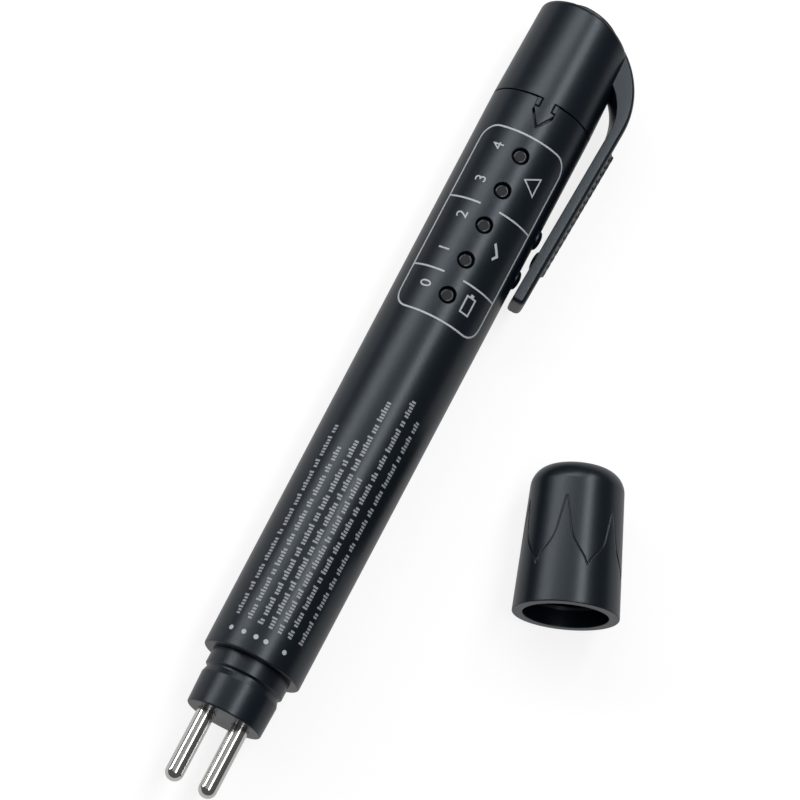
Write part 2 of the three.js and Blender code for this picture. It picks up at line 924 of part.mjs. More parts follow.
const pen = new THREE.Group();
pen.add(piece('barrel', barrel(), black));
pen.add(piece('nose', nose(), softBlack));
pen.add(piece('probe_pin_right', probePin(1), nickel));
pen.add(piece('probe_pin_left', probePin(-1), nickel));
pen.add(piece('pin_contact_right', pinContact(1), steel));
pen.add(piece('pin_contact_left', pinContact(-1), steel));
pen.add(piece('circuit_board', circuitBoard(), greenBoard));
lampPlaces.forEach((along, place) => {
  pen.add(piece(`lamp_${place + 1}`, lamp(along), smoked));
  pen.add(piece(`lamp_resistor_${place + 1}`, resistor(along), chipBlack));
});
pen.add(piece('controller', controller(), chipBlack));
pen.add(piece('supply_chip', supplyChip(), chipBlack));
pen.add(piece('supply_coil', supplyCoil(), chipBlack));
pen.add(piece('supply_capacitor', supplyCapacitor(), steel));
pen.add(piece('circuit_carrier', circuitCarrier(), carrierGrey));
pen.add(piece('battery_can', batteryCan(), steel));
pen.add(piece('battery_jacket', batteryJacket(), jacketBlue));
pen.add(piece('positive_contact', positiveContact(), steel));
pen.add(piece('ground_strip', groundStrip(), steel));
pen.add(piece('end_cap', endCap(), black));
pen.add(piece('push_button', pushButton(), softBlack));
pen.add(piece('contact_plate', contactPlate(), steel));
pen.add(piece('battery_spring', batterySpring(), steel));
pen.add(piece('clip', clip(), black));
pen.position.z = seamRadius;

// The cover lies on its tapered side, so its axis dips towards the closed end.
const cover = piece('probe_cover', probeCover(), black);
const coverMouthRadius = neckRadius + coverMouthGap + coverWall;
const coverDip = Math.atan(coverTaper / (coverLength - coverEndRound));
cover.rotation.order = 'ZYX';
cover.rotation.y = coverDip;
cover.rotation.z = THREE.MathUtils.degToRad(coverAngle);
cover.position.set(coverMouthAlong, -coverMouthAside, coverMouthRadius * Math.cos(coverDip));

// The whole object stands on z = 0, with the middle of its outline over the origin.
const testPen = new THREE.Group();
testPen.add(pen, cover);
testPen.updateMatrixWorld(true);
const outline = new THREE.Box3().setFromObject(testPen, true);
const middle = outline.getCenter(new THREE.Vector3());
testPen.position.set(-middle.x, -middle.y, -outline.min.z);
testPen.updateMatrixWorld(true);

export default testPen;
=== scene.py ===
"""Looks of a pen-shaped brake fluid tester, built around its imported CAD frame."""

import math

import bmesh
import bpy
import numpy as np
from bpy.props import FloatProperty, FloatVectorProperty, IntProperty, PointerProperty
from bpy.types import Operator, Panel, PropertyGroup
from mathutils import Matrix, Vector
from mathutils.geometry import delaunay_2d_cdt


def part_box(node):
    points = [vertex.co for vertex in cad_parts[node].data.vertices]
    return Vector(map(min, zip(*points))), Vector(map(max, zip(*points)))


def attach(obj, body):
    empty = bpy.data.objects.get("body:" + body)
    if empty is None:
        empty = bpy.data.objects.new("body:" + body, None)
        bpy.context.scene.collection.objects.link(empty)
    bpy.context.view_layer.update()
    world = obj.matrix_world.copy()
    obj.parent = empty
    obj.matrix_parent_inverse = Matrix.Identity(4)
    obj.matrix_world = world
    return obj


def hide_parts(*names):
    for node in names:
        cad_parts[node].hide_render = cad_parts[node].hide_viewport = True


bl_info = {
    "name": "Brake fluid test pen",
    "version": (1, 0, 0),
    "blender": (4, 5, 0),
    "location": "View3D > Sidebar > Test pen",
    "description": "Builds the looks of a brake fluid test pen around its CAD frame",
    "category": "Object",
}

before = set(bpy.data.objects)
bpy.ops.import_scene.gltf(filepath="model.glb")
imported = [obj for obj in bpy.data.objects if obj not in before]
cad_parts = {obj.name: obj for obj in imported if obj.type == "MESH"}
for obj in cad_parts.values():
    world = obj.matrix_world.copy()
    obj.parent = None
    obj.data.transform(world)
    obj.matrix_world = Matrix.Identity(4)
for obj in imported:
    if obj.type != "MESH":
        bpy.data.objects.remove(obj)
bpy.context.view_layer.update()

# Lengths below are millimetres. Along the pen, x runs from the barrel's front shoulder
# towards the cap. Angles run round the pen from the line of lamps towards the clip.
SIDES = 96
STEP = 2 * math.pi / SIDES
UNROLL = 9.0  # width of the unrolled skin per radian
EDGE = 0.14
FINE_EDGE = 0.08
EDGE_ROWS = (1.0, 0.5, 0.134)
EDGE_STEPS = 3
SEAM_CLEAR = 0.12
MITRE_LIMIT = 1.2
MM = 1000
TINY = 1e-12

# Barrel
BARREL_LENGTH = 109.2
SHOULDER_R = 8.78
SEAM_R = 9.27
BORE_R = 7.0
MOUTH_R = 6.2
MOUTH_DEPTH = 2.5
SPIGOT_R = 7.85
SPIGOT_END = 117.2
SPIGOT_LEAD = 0.4
SPIGOT_ROW = 113.0
SHOULDER_EDGE = 0.35
SHEET_START = 1.0
ROW_PITCH = 3.6
BORE_PITCH = 6

# Lamp holes and catches
LAMPS = (70.18, 77.16, 84.14, 91.12, 98.10)
HOLE_R = 1.5
HOLE_POINTS = 40
CATCHES = (81.05, 89.15)
CATCH_HALF_LENGTH = 1.75
CATCH_HALF_WIDTH = 1.7
CATCH_HEIGHT = 0.66
CATCH_ROWS = (1.0, 0.985, 0.94, 0.86, 0.74, 0.58, 0.38, 0.18)

# The arrow-shaped tongue of the cap, the lines of its neck, and the notch around it
ARROW_TIP = 104.35
ARROW_HEAD = 107.45
ARROW_HALF = 1.96
ARROW_ROWS = (105.5, 106.5, 107.4)
NECK_HALF = 1.18
NECK_START = 107.66
LINE_WIDTH = 0.34
LINE_DEPTH = 0.45
LINE_SLOPE = 0.13
LINE_GUARD = 0.03
LINE_REACH = 0.02
NOTCH_GAP = 0.72
NOTCH_SIDE_GAP = 0.01

# End cap, and the sweep that its end and the clip share
CAP_FRONT = 109.45
CAP_END = 128.2
CAP_END_R = 8.85
CAP_ROUNDING = 0.75
CAP_ROUNDING_DEPTH = 0.5
CAP_SHEET_END = 118.0
CAP_PITCH = 2
CAP_CLEAR = 0.2
CAP_ROUNDING_STEPS = 6
CAP_END_RINGS = 5
CAP_BORE_R = 7.95
PARTITION_FRONT = 117.5
PARTITION_BACK = 119.0
STEM_HOLE_R = 2.3
CHAMBER_R = 6.9
CHAMBER_END = 125.4
BUTTON_HOLE_R = 6.1
END_SLOPE = 0.11
END_BOW = 0.016
CAP_DIP = 0.45
BUTTON_DIP = 0.2
SWEEP_X = 113.65
SWEEP_R = 16.3
SWEEP_TOP = 13.9
SWEEP_DROP = SWEEP_R - SWEEP_TOP

# Nose and probe pins
NOSE_END = -10.0
NOSE_R = 7.04
NOSE_END_R = 6.76
NOSE_FACE_RIM = 0.5
NOSE_TAIL_RIM = 0.9
NOSE_EDGE = 0.3
COLLAR_EDGE = 0.1
COLLAR_R = 6.92
NECK_END = -2.7
GROOVE_REAR = -3.05
GROOVE_FRONT = -3.35
GROOVE_R = 6.59
COLLAR_REAR = -4.35
NOSE_PLUG = 6.0
NOSE_PLUG_R = 6.15
PIN_R = 1.6
PIN_HOLE_R = 1.66
PIN_ASIDE = 3.07
PIN_TIP = -23.0
PIN_TAIL = 9.5
PIN_TAIL_EDGE = 0.2
PIN_SIDES = 64
PIN_TIP_STEPS = 14
PIN_HOLE_SIDES = 32
# The nose is drawn in a lighter copy of the black plastic: painted light, standing in for the light on
# its front face
NOSE_PAINTED_LIGHT = 1.15

# Lamp lenses
LENS_R = 1.2
LENS_ROUNDING = 0.34
LENS_RECESS = 0.32
LENS_BASE = 5.2
LENS_FLANGE_R = 1.3
LENS_FLANGE = 0.6
LENS_FLANGE_EDGE = 0.1
LENS_CORNER = 0.05
LENS_SIDES = 40
LENS_STEPS = 10

# Push button
BUTTON_R = 6.0
BUTTON_TOP = 129.45
BUTTON_EDGE = 0.3
BUTTON_LEVEL = 127.0
BUTTON_FLANGE_R = 6.6
BUTTON_FLANGE_TOP = 125.1
BUTTON_FLANGE_BOTTOM = 124.1
BUTTON_INNER_R = 4.8
BUTTON_CEILING = 128.05
STEM_R = 2.0
STEM_END = 117.4
BUTTON_STEPS = 6

# Clip, with its nub and ribs
CLIP_TIP = 76.65
CLIP_HALF_WIDTH = 3.5
CLIP_OUTER_EDGE = 0.9
CLIP_INNER_EDGE = 0.22
CLIP_TIP_EDGE = 0.8
CLIP_TIP_STAND = 10.02
CLIP_TIP_OUTER = 12.37
CLIP_CROWN = 0.04
CLIP_ARM_BULGE = 0.08
CLIP_ARCH_BULGE = 0.9
CLIP_INNER_X = 112.2
CLIP_INNER_RISE = 1.85
CLIP_INNER_R = 9.8
CLIP_ROOT_STAND = 7.6
ARCH_STEPS = 24
ARCH_FULLNESS = 0.7
ARM_PITCH = 3
TIP_STEPS = 6
FACE_STEPS = 4
OUTER_EDGE_STEPS = 5
INNER_EDGE_STEPS = 4
NUB_X = 85.7
NUB_HALF = 1.75
NUB_STAND = 9.96
RIB_REAR = 108.45
RIB_PITCH = 1.49
RIB_COUNT = 17
RIB_WIDTH = 1.0
RIB_FRONT_HEIGHT = 0.4
RIB_REAR_HEIGHT = 0.65
RIB_ROOT = 0.3
RIB_END = 2.62
RIB_END_SUNK = 0.13
RIB_STEP = 0.85
RIB_STEP_RUN = 0.3
RIB_STEP_SHARE = 0.5
RIB_ROUNDING = 0.2
RIB_EDGE_STEPS = 4

# Probe cover
COVER_LENGTH = 25.7
COVER_MOUTH_R = 7.3
COVER_OUTER_R = 9.12
COVER_TAPER = 1.1
COVER_STRAIGHT = 21.8
COVER_ROUNDING = 3.9
COVER_SHEET = (0.6, 21.0)
COVER_PITCH = 2
COVER_CLEAR = 0.15
COVER_DOME_STEPS = 16
COVER_PLACE = (32.8, 42.6)
COVER_TURN = math.radians(20.4)
COVER_BEAD_X = 3.525
COVER_BEAD = 0.24
COVER_BEAD_HALF = 0.5
COVER_BEAD_ROUNDING = 0.3
COVER_RIM_ROUNDING = 0.2
COVER_NECK_DEPTH = 11.5
COVER_INNER_R = 5.3
COVER_INNER_SHOULDER = 3.0
COVER_END_WALL = 2.2
# Half a petal of the cover's ornament: the distance from the mouth, and the share of half
# a petal's width from its middle
PETAL_LINE = (
    (6.8, 1.0), (7.4, 0.955), (8.1, 0.885), (8.8, 0.79), (9.6, 0.665), (10.4, 0.54), (11.2, 0.435),
    (12.1, 0.35), (13.2, 0.285), (14.6, 0.225), (16.2, 0.16), (17.8, 0.09), (19.3, 0.015),
)
# Where guide lines run beside each groove, in shares of half its width
PETAL_GUIDES = (0, 0.5, 1, 1.35)
PETAL_TURN = math.radians(-20.0)
# Height of each petal, as a share of the line above, round from the middle one
PETAL_REACH = (0.955, 0.83, 0.925)

# Printed panel and marks: distances along the pen, and angles in degrees
PANEL = (65.6, 102.0, -55.5, 55.0)
PANEL_CORNER = 3.0
PANEL_LINE = 0.32
PANEL_CORNER_STEPS = 8
# How far the dividers keep from the panel's outline, in shares of half a line
DIVIDER_GAP = 1.1
DIVIDERS = ((87.4, -55.5, -14.5), (87.4, 7.9, 55.0), (73.65, -55.5, -14.5), (73.65, 7.9, 55.0))
# Plain numbers beside the lamps: the middle of each along the pen, and their foot and top round it
NUMBERS = (("0", 70.6), ("1", 77.6), ("2", 84.4), ("3", 91.6), ("4", 98.3))
NUMBER_ANGLES = (-21.4, -34.0)
# Plain tick beside the middle lamp, and its outline as shares of that place
TICK_MARK = (79.38, 82.53, 30.6, 19.3)
TICK_OUTLINE = ((0, 0.45), (0.13, 0.6), (0.36, 0.32), (0.86, 1), (1, 0.88), (0.37, 0))
TRIANGLE = (92.86, 96.76, 14.3, 33.3)
TRIANGLE_LINE = 0.25
BATTERY_MARK = (68.63, 72.43, 18.9, 31.6)
BATTERY_LINE = 0.3
BATTERY_KNOB = 0.45
DOT_X = 3.0
DOT_ANGLES = (-42.4, -25.4, -10.4, 1.5, 25.0)
DOT_R = 0.43
DOT_POINTS = 20
# Rows of plain ticks: where each starts and ends along the pen, and its angle
TICK_ROWS = (
    (5.6, 40.9, -43.4), (5.4, 36.0, -26.8), (5.3, 41.0, -12.5), (5.3, 45.5, -1.0),
    (5.3, 35.2, 9.9), (5.4, 49.0, 22.5), (5.6, 46.6, 38.7),
)
TICK_HEIGHTS = (0.72, 0.72, 0.98, 0.72, 0.72, 0.72, 0.94)
TICK_WIDTH = 0.34
TICK_PITCH = 0.56
TICKS_IN_GROUP = (7, 3, 5, 8, 2, 6, 4, 7, 3)
INK_SUNK = 0.015
WRAP_PITCH = 0.6


def colour(code):
    """A linear colour from an sRGB hex code."""
    parts = [int(code[k : k + 2], 16) / 255 for k in (0, 2, 4)]
    return tuple(c / 12.92 if c <= 0.04045 else ((c + 0.055) / 1.055) ** 2.4 for c in parts)


# Places


def pen_matrix():
    """From pen millimetres to the row frame, taken from the nose's place."""
    low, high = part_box("nose")
    middle = (low + high) / 2
    return Matrix.Translation((low.x - NOSE_END / MM, middle.y, middle.z)) @ Matrix.Scale(0.001, 4)


PEN = pen_matrix()


def upright(x):
    """The seat of a round piece that stands up from the pen's axis at x."""
    return Matrix.Translation((x, 0, 0)) @ Matrix.Rotation(-math.pi / 2, 4, "Y")


def cover_seat():
    """The cover lies on its tapered side, so its axis dips towards the closed end."""
    dip = math.atan(COVER_TAPER / COVER_STRAIGHT)
    high = COVER_OUTER_R * math.cos(dip) - SEAM_R
    place = Matrix.Translation((COVER_PLACE[0], -COVER_PLACE[1], high))
    return place @ Matrix.Rotation(COVER_TURN, 4, "Z") @ Matrix.Rotation(dip, 4, "Y")


def barrel_radius(x):
    return SHOULDER_R + (SEAM_R - SHOULDER_R) * x / BARREL_LENGTH


def cap_radius(x):
    cone = SEAM_R - (SEAM_R - CAP_END_R) * (x - CAP_FRONT) / (CAP_END - CAP_ROUNDING - CAP_FRONT)
    return np.where(x < CAP_FRONT, np.minimum(barrel_radius(x), SEAM_R), cone)


def cover_radius(x):
    return COVER_OUTER_R - COVER_TAPER * x / COVER_STRAIGHT


# Meshes


class Skin:
    """Corners, faces and corner normals of one mesh, in millimetres."""

    def __init__(self):
        self.points, self.found, self.faces, self.normals = [], {}, [], []

    def corner(self, at):
        key = tuple(round(float(c), 4) for c in at)
        if key not in self.found:
            self.found[key] = len(self.points)
            self.points.append(tuple(float(c) for c in at))
        return self.found[key]

    def face(self, places, normals):
        """Adds a face that looks the way its normals do. Corners that fall together are merged."""
        ids = [self.corner(p) for p in places]
        kept = [(i, n) for k, (i, n) in enumerate(zip(ids, normals)) if i != ids[k - 1]]
        if len({i for i, _ in kept}) < 3:
            return
        at = [np.array(self.points[i]) for i, _ in kept]
        real = sum(np.cross(at[k] - at[0], at[k + 1] - at[0]) for k in range(1, len(at) - 1))
        if np.dot(real, sum(np.array(n, float) for _, n in kept)) < 0:
            kept.reverse()
        self.faces.append([i for i, _ in kept])
        self.normals.extend(tuple(float(c) for c in n) for _, n in kept)


def unit(vectors):
    """The vectors at length one."""
    return vectors / np.maximum(np.linalg.norm(vectors, axis=-1, keepdims=True), TINY)


def build(skin, name, body, finish, nodes=(), seat=None):
    """Makes an object of the skin, seats it on the pen and ties it to the frame."""
    matrix = PEN @ (seat or Matrix())
    turn = matrix.to_3x3().normalized()
    mesh = bpy.data.meshes.new(name)
    mesh.from_pydata([matrix @ Vector(p) for p in skin.points], [], skin.faces)
    mesh.shade_smooth()
    mesh.normals_split_custom_set([turn @ Vector(n) for n in skin.normals])
    tie(mesh, name, body, finish, nodes)


def tie(mesh, name, body, finish, nodes=()):
    """Makes an object of the mesh that rides on a body, in place of the nodes it stands for."""
    mesh.materials.append(finish)
    piece = bpy.data.objects.new(name, mesh)
    bpy.context.scene.collection.objects.link(piece)
    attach(piece, body)
    if nodes:
        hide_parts(*nodes)


def spans(corners, closed, steps):
    """Pieces of an outline of (x, radius, rounding) corners, each with the normals at its ends."""
    count = len(corners)
    at = [np.array(c[:2], float) for c in corners]
    trims, turns = [0.0] * count, [0.0] * count
    runs = range(count) if closed else range(count - 1)
    way = {}
    for k in runs:
        step = at[(k + 1) % count] - at[k]
        way[k] = step / np.linalg.norm(step)
    for k in range(count):
        before, after = way.get((k - 1) % count), way.get(k)
        rounding = corners[k][2] if len(corners[k]) > 2 else 0
        if not rounding or before is None or after is None:
            continue
        turns[k] = math.atan2(before[0] * after[1] - before[1] * after[0], before @ after)
        trims[k] = rounding * abs(math.tan(turns[k] / 2))
    result = []
    for k in runs:
        nxt = (k + 1) % count
        normal = np.array([-way[k][1], way[k][0]])
        start, end = at[k] + way[k] * trims[k], at[nxt] - way[k] * trims[nxt]
        result.append((start, normal, end, normal))
        if trims[nxt]:
            sign = -1 if turns[nxt] > 0 else 1
            centre = end - sign * corners[nxt][2] * normal
            last, last_normal = end, normal
            for s in range(1, steps + 1):
                turn = turns[nxt] * s / steps
                c, d = math.cos(turn), math.sin(turn)
                spun = np.array([c * normal[0] - d * normal[1], d * normal[0] + c * normal[1]])
                point = centre + sign * corners[nxt][2] * spun
                result.append((last, last_normal, point, spun))
                last, last_normal = point, spun
    return result


def around(point, angle):
    """A point or a normal of a profile, turned to that angle."""
    return (point[0], -point[1] * math.sin(angle), point[1] * math.cos(angle))


def turned(skin, corners, closed=False, sides=SIDES, steps=EDGE_STEPS):
    """Turns an outline about the x axis. The outline goes +x along outer faces."""
    step = 2 * math.pi / sides
    for start, first, end, last in spans(corners, closed, steps):
        for k in range(sides):
            a, b = -math.pi + k * step, -math.pi + (k + 1) * step
            places = [around(start, a), around(start, b), around(end, b), around(end, a)]
            skin.face(places, [around(first, a), around(first, b), around(last, b), around(last, a)])


def quarter(steps):
    """Even angles from nothing to a right angle."""
    return [math.pi / 2 * k / steps for k in range(steps + 1)]


def inside(points, loop):
    """Which of the points lie inside the closed loop."""
    odd = np.zeros(len(points), bool)
    for (x0, y0), (x1, y1) in zip(loop, list(loop[1:]) + [loop[0]]):
        if y0 != y1:
            crossed = (y0 > points[:, 1]) != (y1 > points[:, 1])
            odd ^= crossed & (points[:, 0] < (x1 - x0) * (points[:, 1] - y0) / (y1 - y0) + x0)
    return odd


def distance(x, a, lines):
    """How far each unrolled point lies from the nearest of the lines."""
    nearest = np.full(np.shape(x), 1e9)
    for line in lines:
        for (x0, a0), (x1, a1) in zip(line, line[1:]):
            dx, da = x1 - x0, a1 - a0
            share = np.clip(((x - x0) * dx + (a - a0) * da) / (dx * dx + da * da), 0, 1)
            nearest = np.minimum(nearest, np.hypot(x - x0 - share * dx, a - a0 - share * da))
    return nearest


def offset(line, gap):
    """The line moved sideways by gap, with its corners mitred."""
    points = [np.array(p, float) for p in line]
    sides = []
    for p, q in zip(points, points[1:]):
        way = (q - p) / np.linalg.norm(q - p)
        sides.append(np.array([-way[1], way[0]]))
    moved = []
    for k, p in enumerate(points):
        before, after = sides[max(k - 1, 0)], sides[min(k, len(sides) - 1)]
        both = before + after
        moved.append(tuple(p + gap * both * 2 / max(both @ both, MITRE_LIMIT)))
    return moved


def sheet(skin, place, loops, lines=(), dots=(), side=1, clear=0.25):
    """Fills the inside of the first loop, outside the others, with triangles along the lines."""
    coords, edges = [], []
    for loop in loops:
        first = len(coords)
        coords.extend(loop)
        edges.extend((first + k, first + (k + 1) % len(loop)) for k in range(len(loop)))
    for line in lines:
        first = len(coords)
        coords.extend(line)
        edges.extend((first + k, first + k + 1) for k in range(len(line) - 1))
    spots = np.array(dots, float).reshape(-1, 2)
    if len(spots):
        drawn = [list(loop) + [loop[0]] for loop in loops] + [list(line) for line in lines]
        free = inside(spots, loops[0]) & (distance(spots[:, 0], spots[:, 1], drawn) > clear)
        for hole in loops[1:]:
            free &= ~inside(spots, hole)
        coords.extend(map(tuple, spots[free]))
    made = delaunay_2d_cdt([Vector(c) for c in coords], edges, [], 0, 1e-4, True)
    flat = np.array([coords[ids[0]] if ids else tuple(v) for v, ids in zip(made[0], made[3])], float)
    at = place(flat[:, 0], flat[:, 1])
    normals = -side * facing(place, flat[:, 0], flat[:, 1])
    faces = np.array(made[2])
    centres = flat[faces].mean(axis=1)
    kept = inside(centres, loops[0])
    for hole in loops[1:]:
        kept &= ~inside(centres, hole)
    for face in faces[kept]:
        skin.face(at[face], normals[face])


def facing(place, x, a):
    """Which way a surface looks at each of its unrolled points."""
    reach = 0.006
    along = place(x + reach, a) - place(x - reach, a)
    across = place(x, a + reach) - place(x, a - reach)
    return unit(np.cross(along, across))


def rolled(gap, radius):
    """How far a rounded edge has fallen away at that gap from its wall."""
    share = np.clip(1 - gap / radius, 0, 1)
    return radius * (1 - np.sqrt(1 - share * share))


def round_place(radius, height=None):
    """The place of unrolled points on a round skin, raised by a height."""

    def place(x, a):
        r = radius(x) if callable(radius) else radius
        if height:
            r = r + height(x, a)
        return np.stack([x, -r * np.sin(a / UNROLL), r * np.cos(a / UNROLL)], axis=-1)

    return place


def strip(skin, upper, lower, normals):
    """Joins two rows of points with one face per step, given the normals at its two ends."""
    for k, (first, last) in enumerate(normals):
        skin.face([upper[k], upper[k + 1], lower[k + 1], lower[k]], [first, last, last, first])


def lattice():
    """The unrolled places of the pen's sides, from back to back."""
    return [(k - SIDES // 2) * STEP * UNROLL for k in range(SIDES + 1)]


def rows(start, end, pitch=ROW_PITCH):
    """Even steps from start to end, as near to the pitch as fits."""
    count = max(round(abs(end - start) / pitch), 1)
    return [start + (end - start) * k / count for k in range(count + 1)]


def seam_line(half, tip, head, seam, extra=()):
    """The edge at the ring seam with the arrow in it, from the back of the pen round to the back."""
    side = math.asin(half / SEAM_R) * UNROLL
    ring = [a for a in lattice() if a < -side - SEAM_CLEAR]
    slant = []
    for share in (0.25, 0.5, 0.75):
        y = half * (1 - share)
        slant.append((head + (tip - head) * share, -math.asin(y / SEAM_R) * UNROLL))
    left = [(seam, a) for a in ring] + [(seam, -side)]
    left += [(x, -side) for x in sorted(extra, reverse=True)] + [(head, -side)] + slant
    return left + [(tip, 0.0)] + [(x, -a) for x, a in reversed(left)]


def open_edges(line):
    """The edge line without its stretches along the pen, where the tongue lies flush in the barrel."""
    runs = [[line[0]]]
    for start, end in zip(line, line[1:]):
        if abs(start[1] - end[1]) > 1e-6:
            runs[-1].append(end)
        else:
            runs.append([end])
    return [run for run in runs if len(run) > 1]


def edge_rows(seam, edge, end, pitch):
    """Rows between a seam and a ring at end, close together over the seam's rounded edge."""
    return [seam + edge * r for r in reversed(EDGE_ROWS)] + rows(seam + edge, end, pitch)[1:-1]


def skin_loop(line, between, end):
    """A loop along the line, by the back of the pen to a ring at end, and home again."""
    back = UNROLL * math.pi
    there, home = [(x, back) for x in between], [(x, -back) for x in reversed(between)]
    return [*line, *there, *((end, -a) for a in lattice()), *home]


def walled(skin, line, top, bottom, towards):
    """The wall under an edge line, between two skins."""
    x, a = np.array(line).T
    upper, lower = top(x, a), bottom(x, a)
    normals = []
    for k in range(len(line) - 1):
        down = (upper[k] + upper[k + 1]) / 2 - (lower[k] + lower[k + 1]) / 2
        normal = np.cross(upper[k + 1] - upper[k], down)
        normals.append(normal / np.linalg.norm(normal) * towards)
    strip(skin, upper, lower, list(zip(normals, normals)))


# Materials

NOISE_RANGE = (0.3, 0.7)  # where most of the noise lies
BUMP_HEIGHT = 0.00002


def add(tree, kind, settings=None, order=(), **inputs):
    """Adds a shader node, sets its options, and sets or links its inputs in order or by name."""
    made = tree.nodes.new("ShaderNode" + kind)
    for name, value in (settings or {}).items():
        setattr(made, name, value)
    for name, value in [*enumerate(order), *inputs.items()]:
        socket = made.inputs[name if isinstance(name, int) else name.replace("_", " ")]
        if isinstance(value, bpy.types.NodeSocket):
            tree.links.new(value, socket)
        else:
            socket.default_value = value
    return made


def surface(
    name, base, roughness, grain=None, strength=0.0, spread=0.0, metallic=0.0, stretch=None, **more
):
    """A material on the standard shader, with an optional grain in real millimetres.

    The grain moves the gloss by spread and the normal by strength; stretch draws it out
    along x, y and z.
    """
    known = bpy.data.materials.get(name)
    if known:
        return known
    material = bpy.data.materials.new(name)
    material.use_nodes = True
    tree = material.node_tree
    shader = tree.nodes["Principled BSDF"]
    settings = {"Base Color": (*base, 1), "Roughness": roughness, "Metallic": metallic, **more}
    for key, value in settings.items():
        shader.inputs[key].default_value = value
    if grain:
        place = add(tree, "TexCoord").outputs["Object"]
        if stretch:
            place = add(tree, "Mapping", Vector=place, Scale=stretch).outputs["Vector"]
        noise = add(tree, "TexNoise", Vector=place, Scale=MM / grain, Detail=3.0, Roughness=0.6)
        if spread:
            gloss = add(
                tree, "MapRange", Value=noise.outputs["Fac"],
                From_Min=NOISE_RANGE[0], From_Max=NOISE_RANGE[1],
                To_Min=roughness - spread, To_Max=roughness + spread,
            )
            tree.links.new(gloss.outputs["Result"], shader.inputs["Roughness"])
        if strength:
            bump = add(tree, "Bump", Height=noise.outputs["Fac"], Strength=strength, Distance=BUMP_HEIGHT)
            tree.links.new(bump.outputs["Normal"], shader.inputs["Normal"])
    return material


def looks():
    return bpy.context.scene.pen_looks


def plastic(name, painted_light_factor=1.0):
    """Black ABS moulded in a spark-eroded tool: dull, with a fine grain that breaks up the highlights.

    The real grain is too fine to see, so it is drawn at 0.35 mm.
    """
    # A factor above one lightens the colour: painted light on that piece, not a different plastic
    base = tuple(c * painted_light_factor for c in looks().plastic_colour)
    tint = (*looks().plastic_sheen, 1)
    return surface(
        name, base, looks().plastic_roughness, grain=0.35, strength=0.4, spread=0.03,
        IOR=1.5, **{"Specular Tint": tint},
    )


def nickel():
    """Brass pins, turned and nickel plated: a bright warm-grey mirror with faint turning marks."""
    return surface(
        "nickel_plated_brass", looks().pin_colour, 0.13, grain=0.5, spread=0.04,
        metallic=1.0, stretch=(6, 1, 1),
    )


def steel(name="tinned_spring_steel", code="a9a6a1", roughness=0.32):
    """Stamped or drawn metal, bare or coated: a soft grey with a streaky rolled surface."""
    streaks = (0.15, 1, 1)
    return surface(name, colour(code), roughness, grain=0.4, spread=0.07, metallic=1.0, stretch=streaks)


def ink(name, tone):
    """Pad-printed epoxy ink, pale grey, dull and a little uneven in its gloss."""
    return surface(name, tone, 0.6, grain=0.3, spread=0.08, IOR=1.5)


def lens():
    """Cast epoxy lamp lens, smoked: dark when off, with a clean round highlight."""
    return surface("smoked_epoxy_lens", looks().lens_colour, 0.13, IOR=1.54)


# Pieces


def barrel_height(edge_line):
    """Lamp hole edges, catches and the seam's rounded edge, as heights on the barrel's skin."""

    def height(x, a):
        angle, r = a / UNROLL, barrel_radius(x)
        high = -rolled(distance(x, a, open_edges(edge_line)), EDGE)
        aside = np.where(np.abs(angle) < 1, r * np.sin(angle), 1e3)
        for place in LAMPS:
            high = high - rolled(np.hypot(x - place, aside) - HOLE_R, EDGE)
        across = (angle - math.pi / 2) * r / CATCH_HALF_WIDTH
        for place in CATCHES:
            away = np.hypot((x - place) / CATCH_HALF_LENGTH, across)
            high = high + CATCH_HEIGHT * np.sqrt(np.clip(1 - away * away, 0, 1))
        return high

    return height


def ring(x, r, radius, count=HOLE_POINTS):
    """A circle about the lamp line as unrolled points, seen from above."""
    turn = [2 * math.pi * k / count for k in range(count)]
    return [(x + r * math.cos(t), math.asin(r * math.sin(t) / radius) * UNROLL) for t in turn]


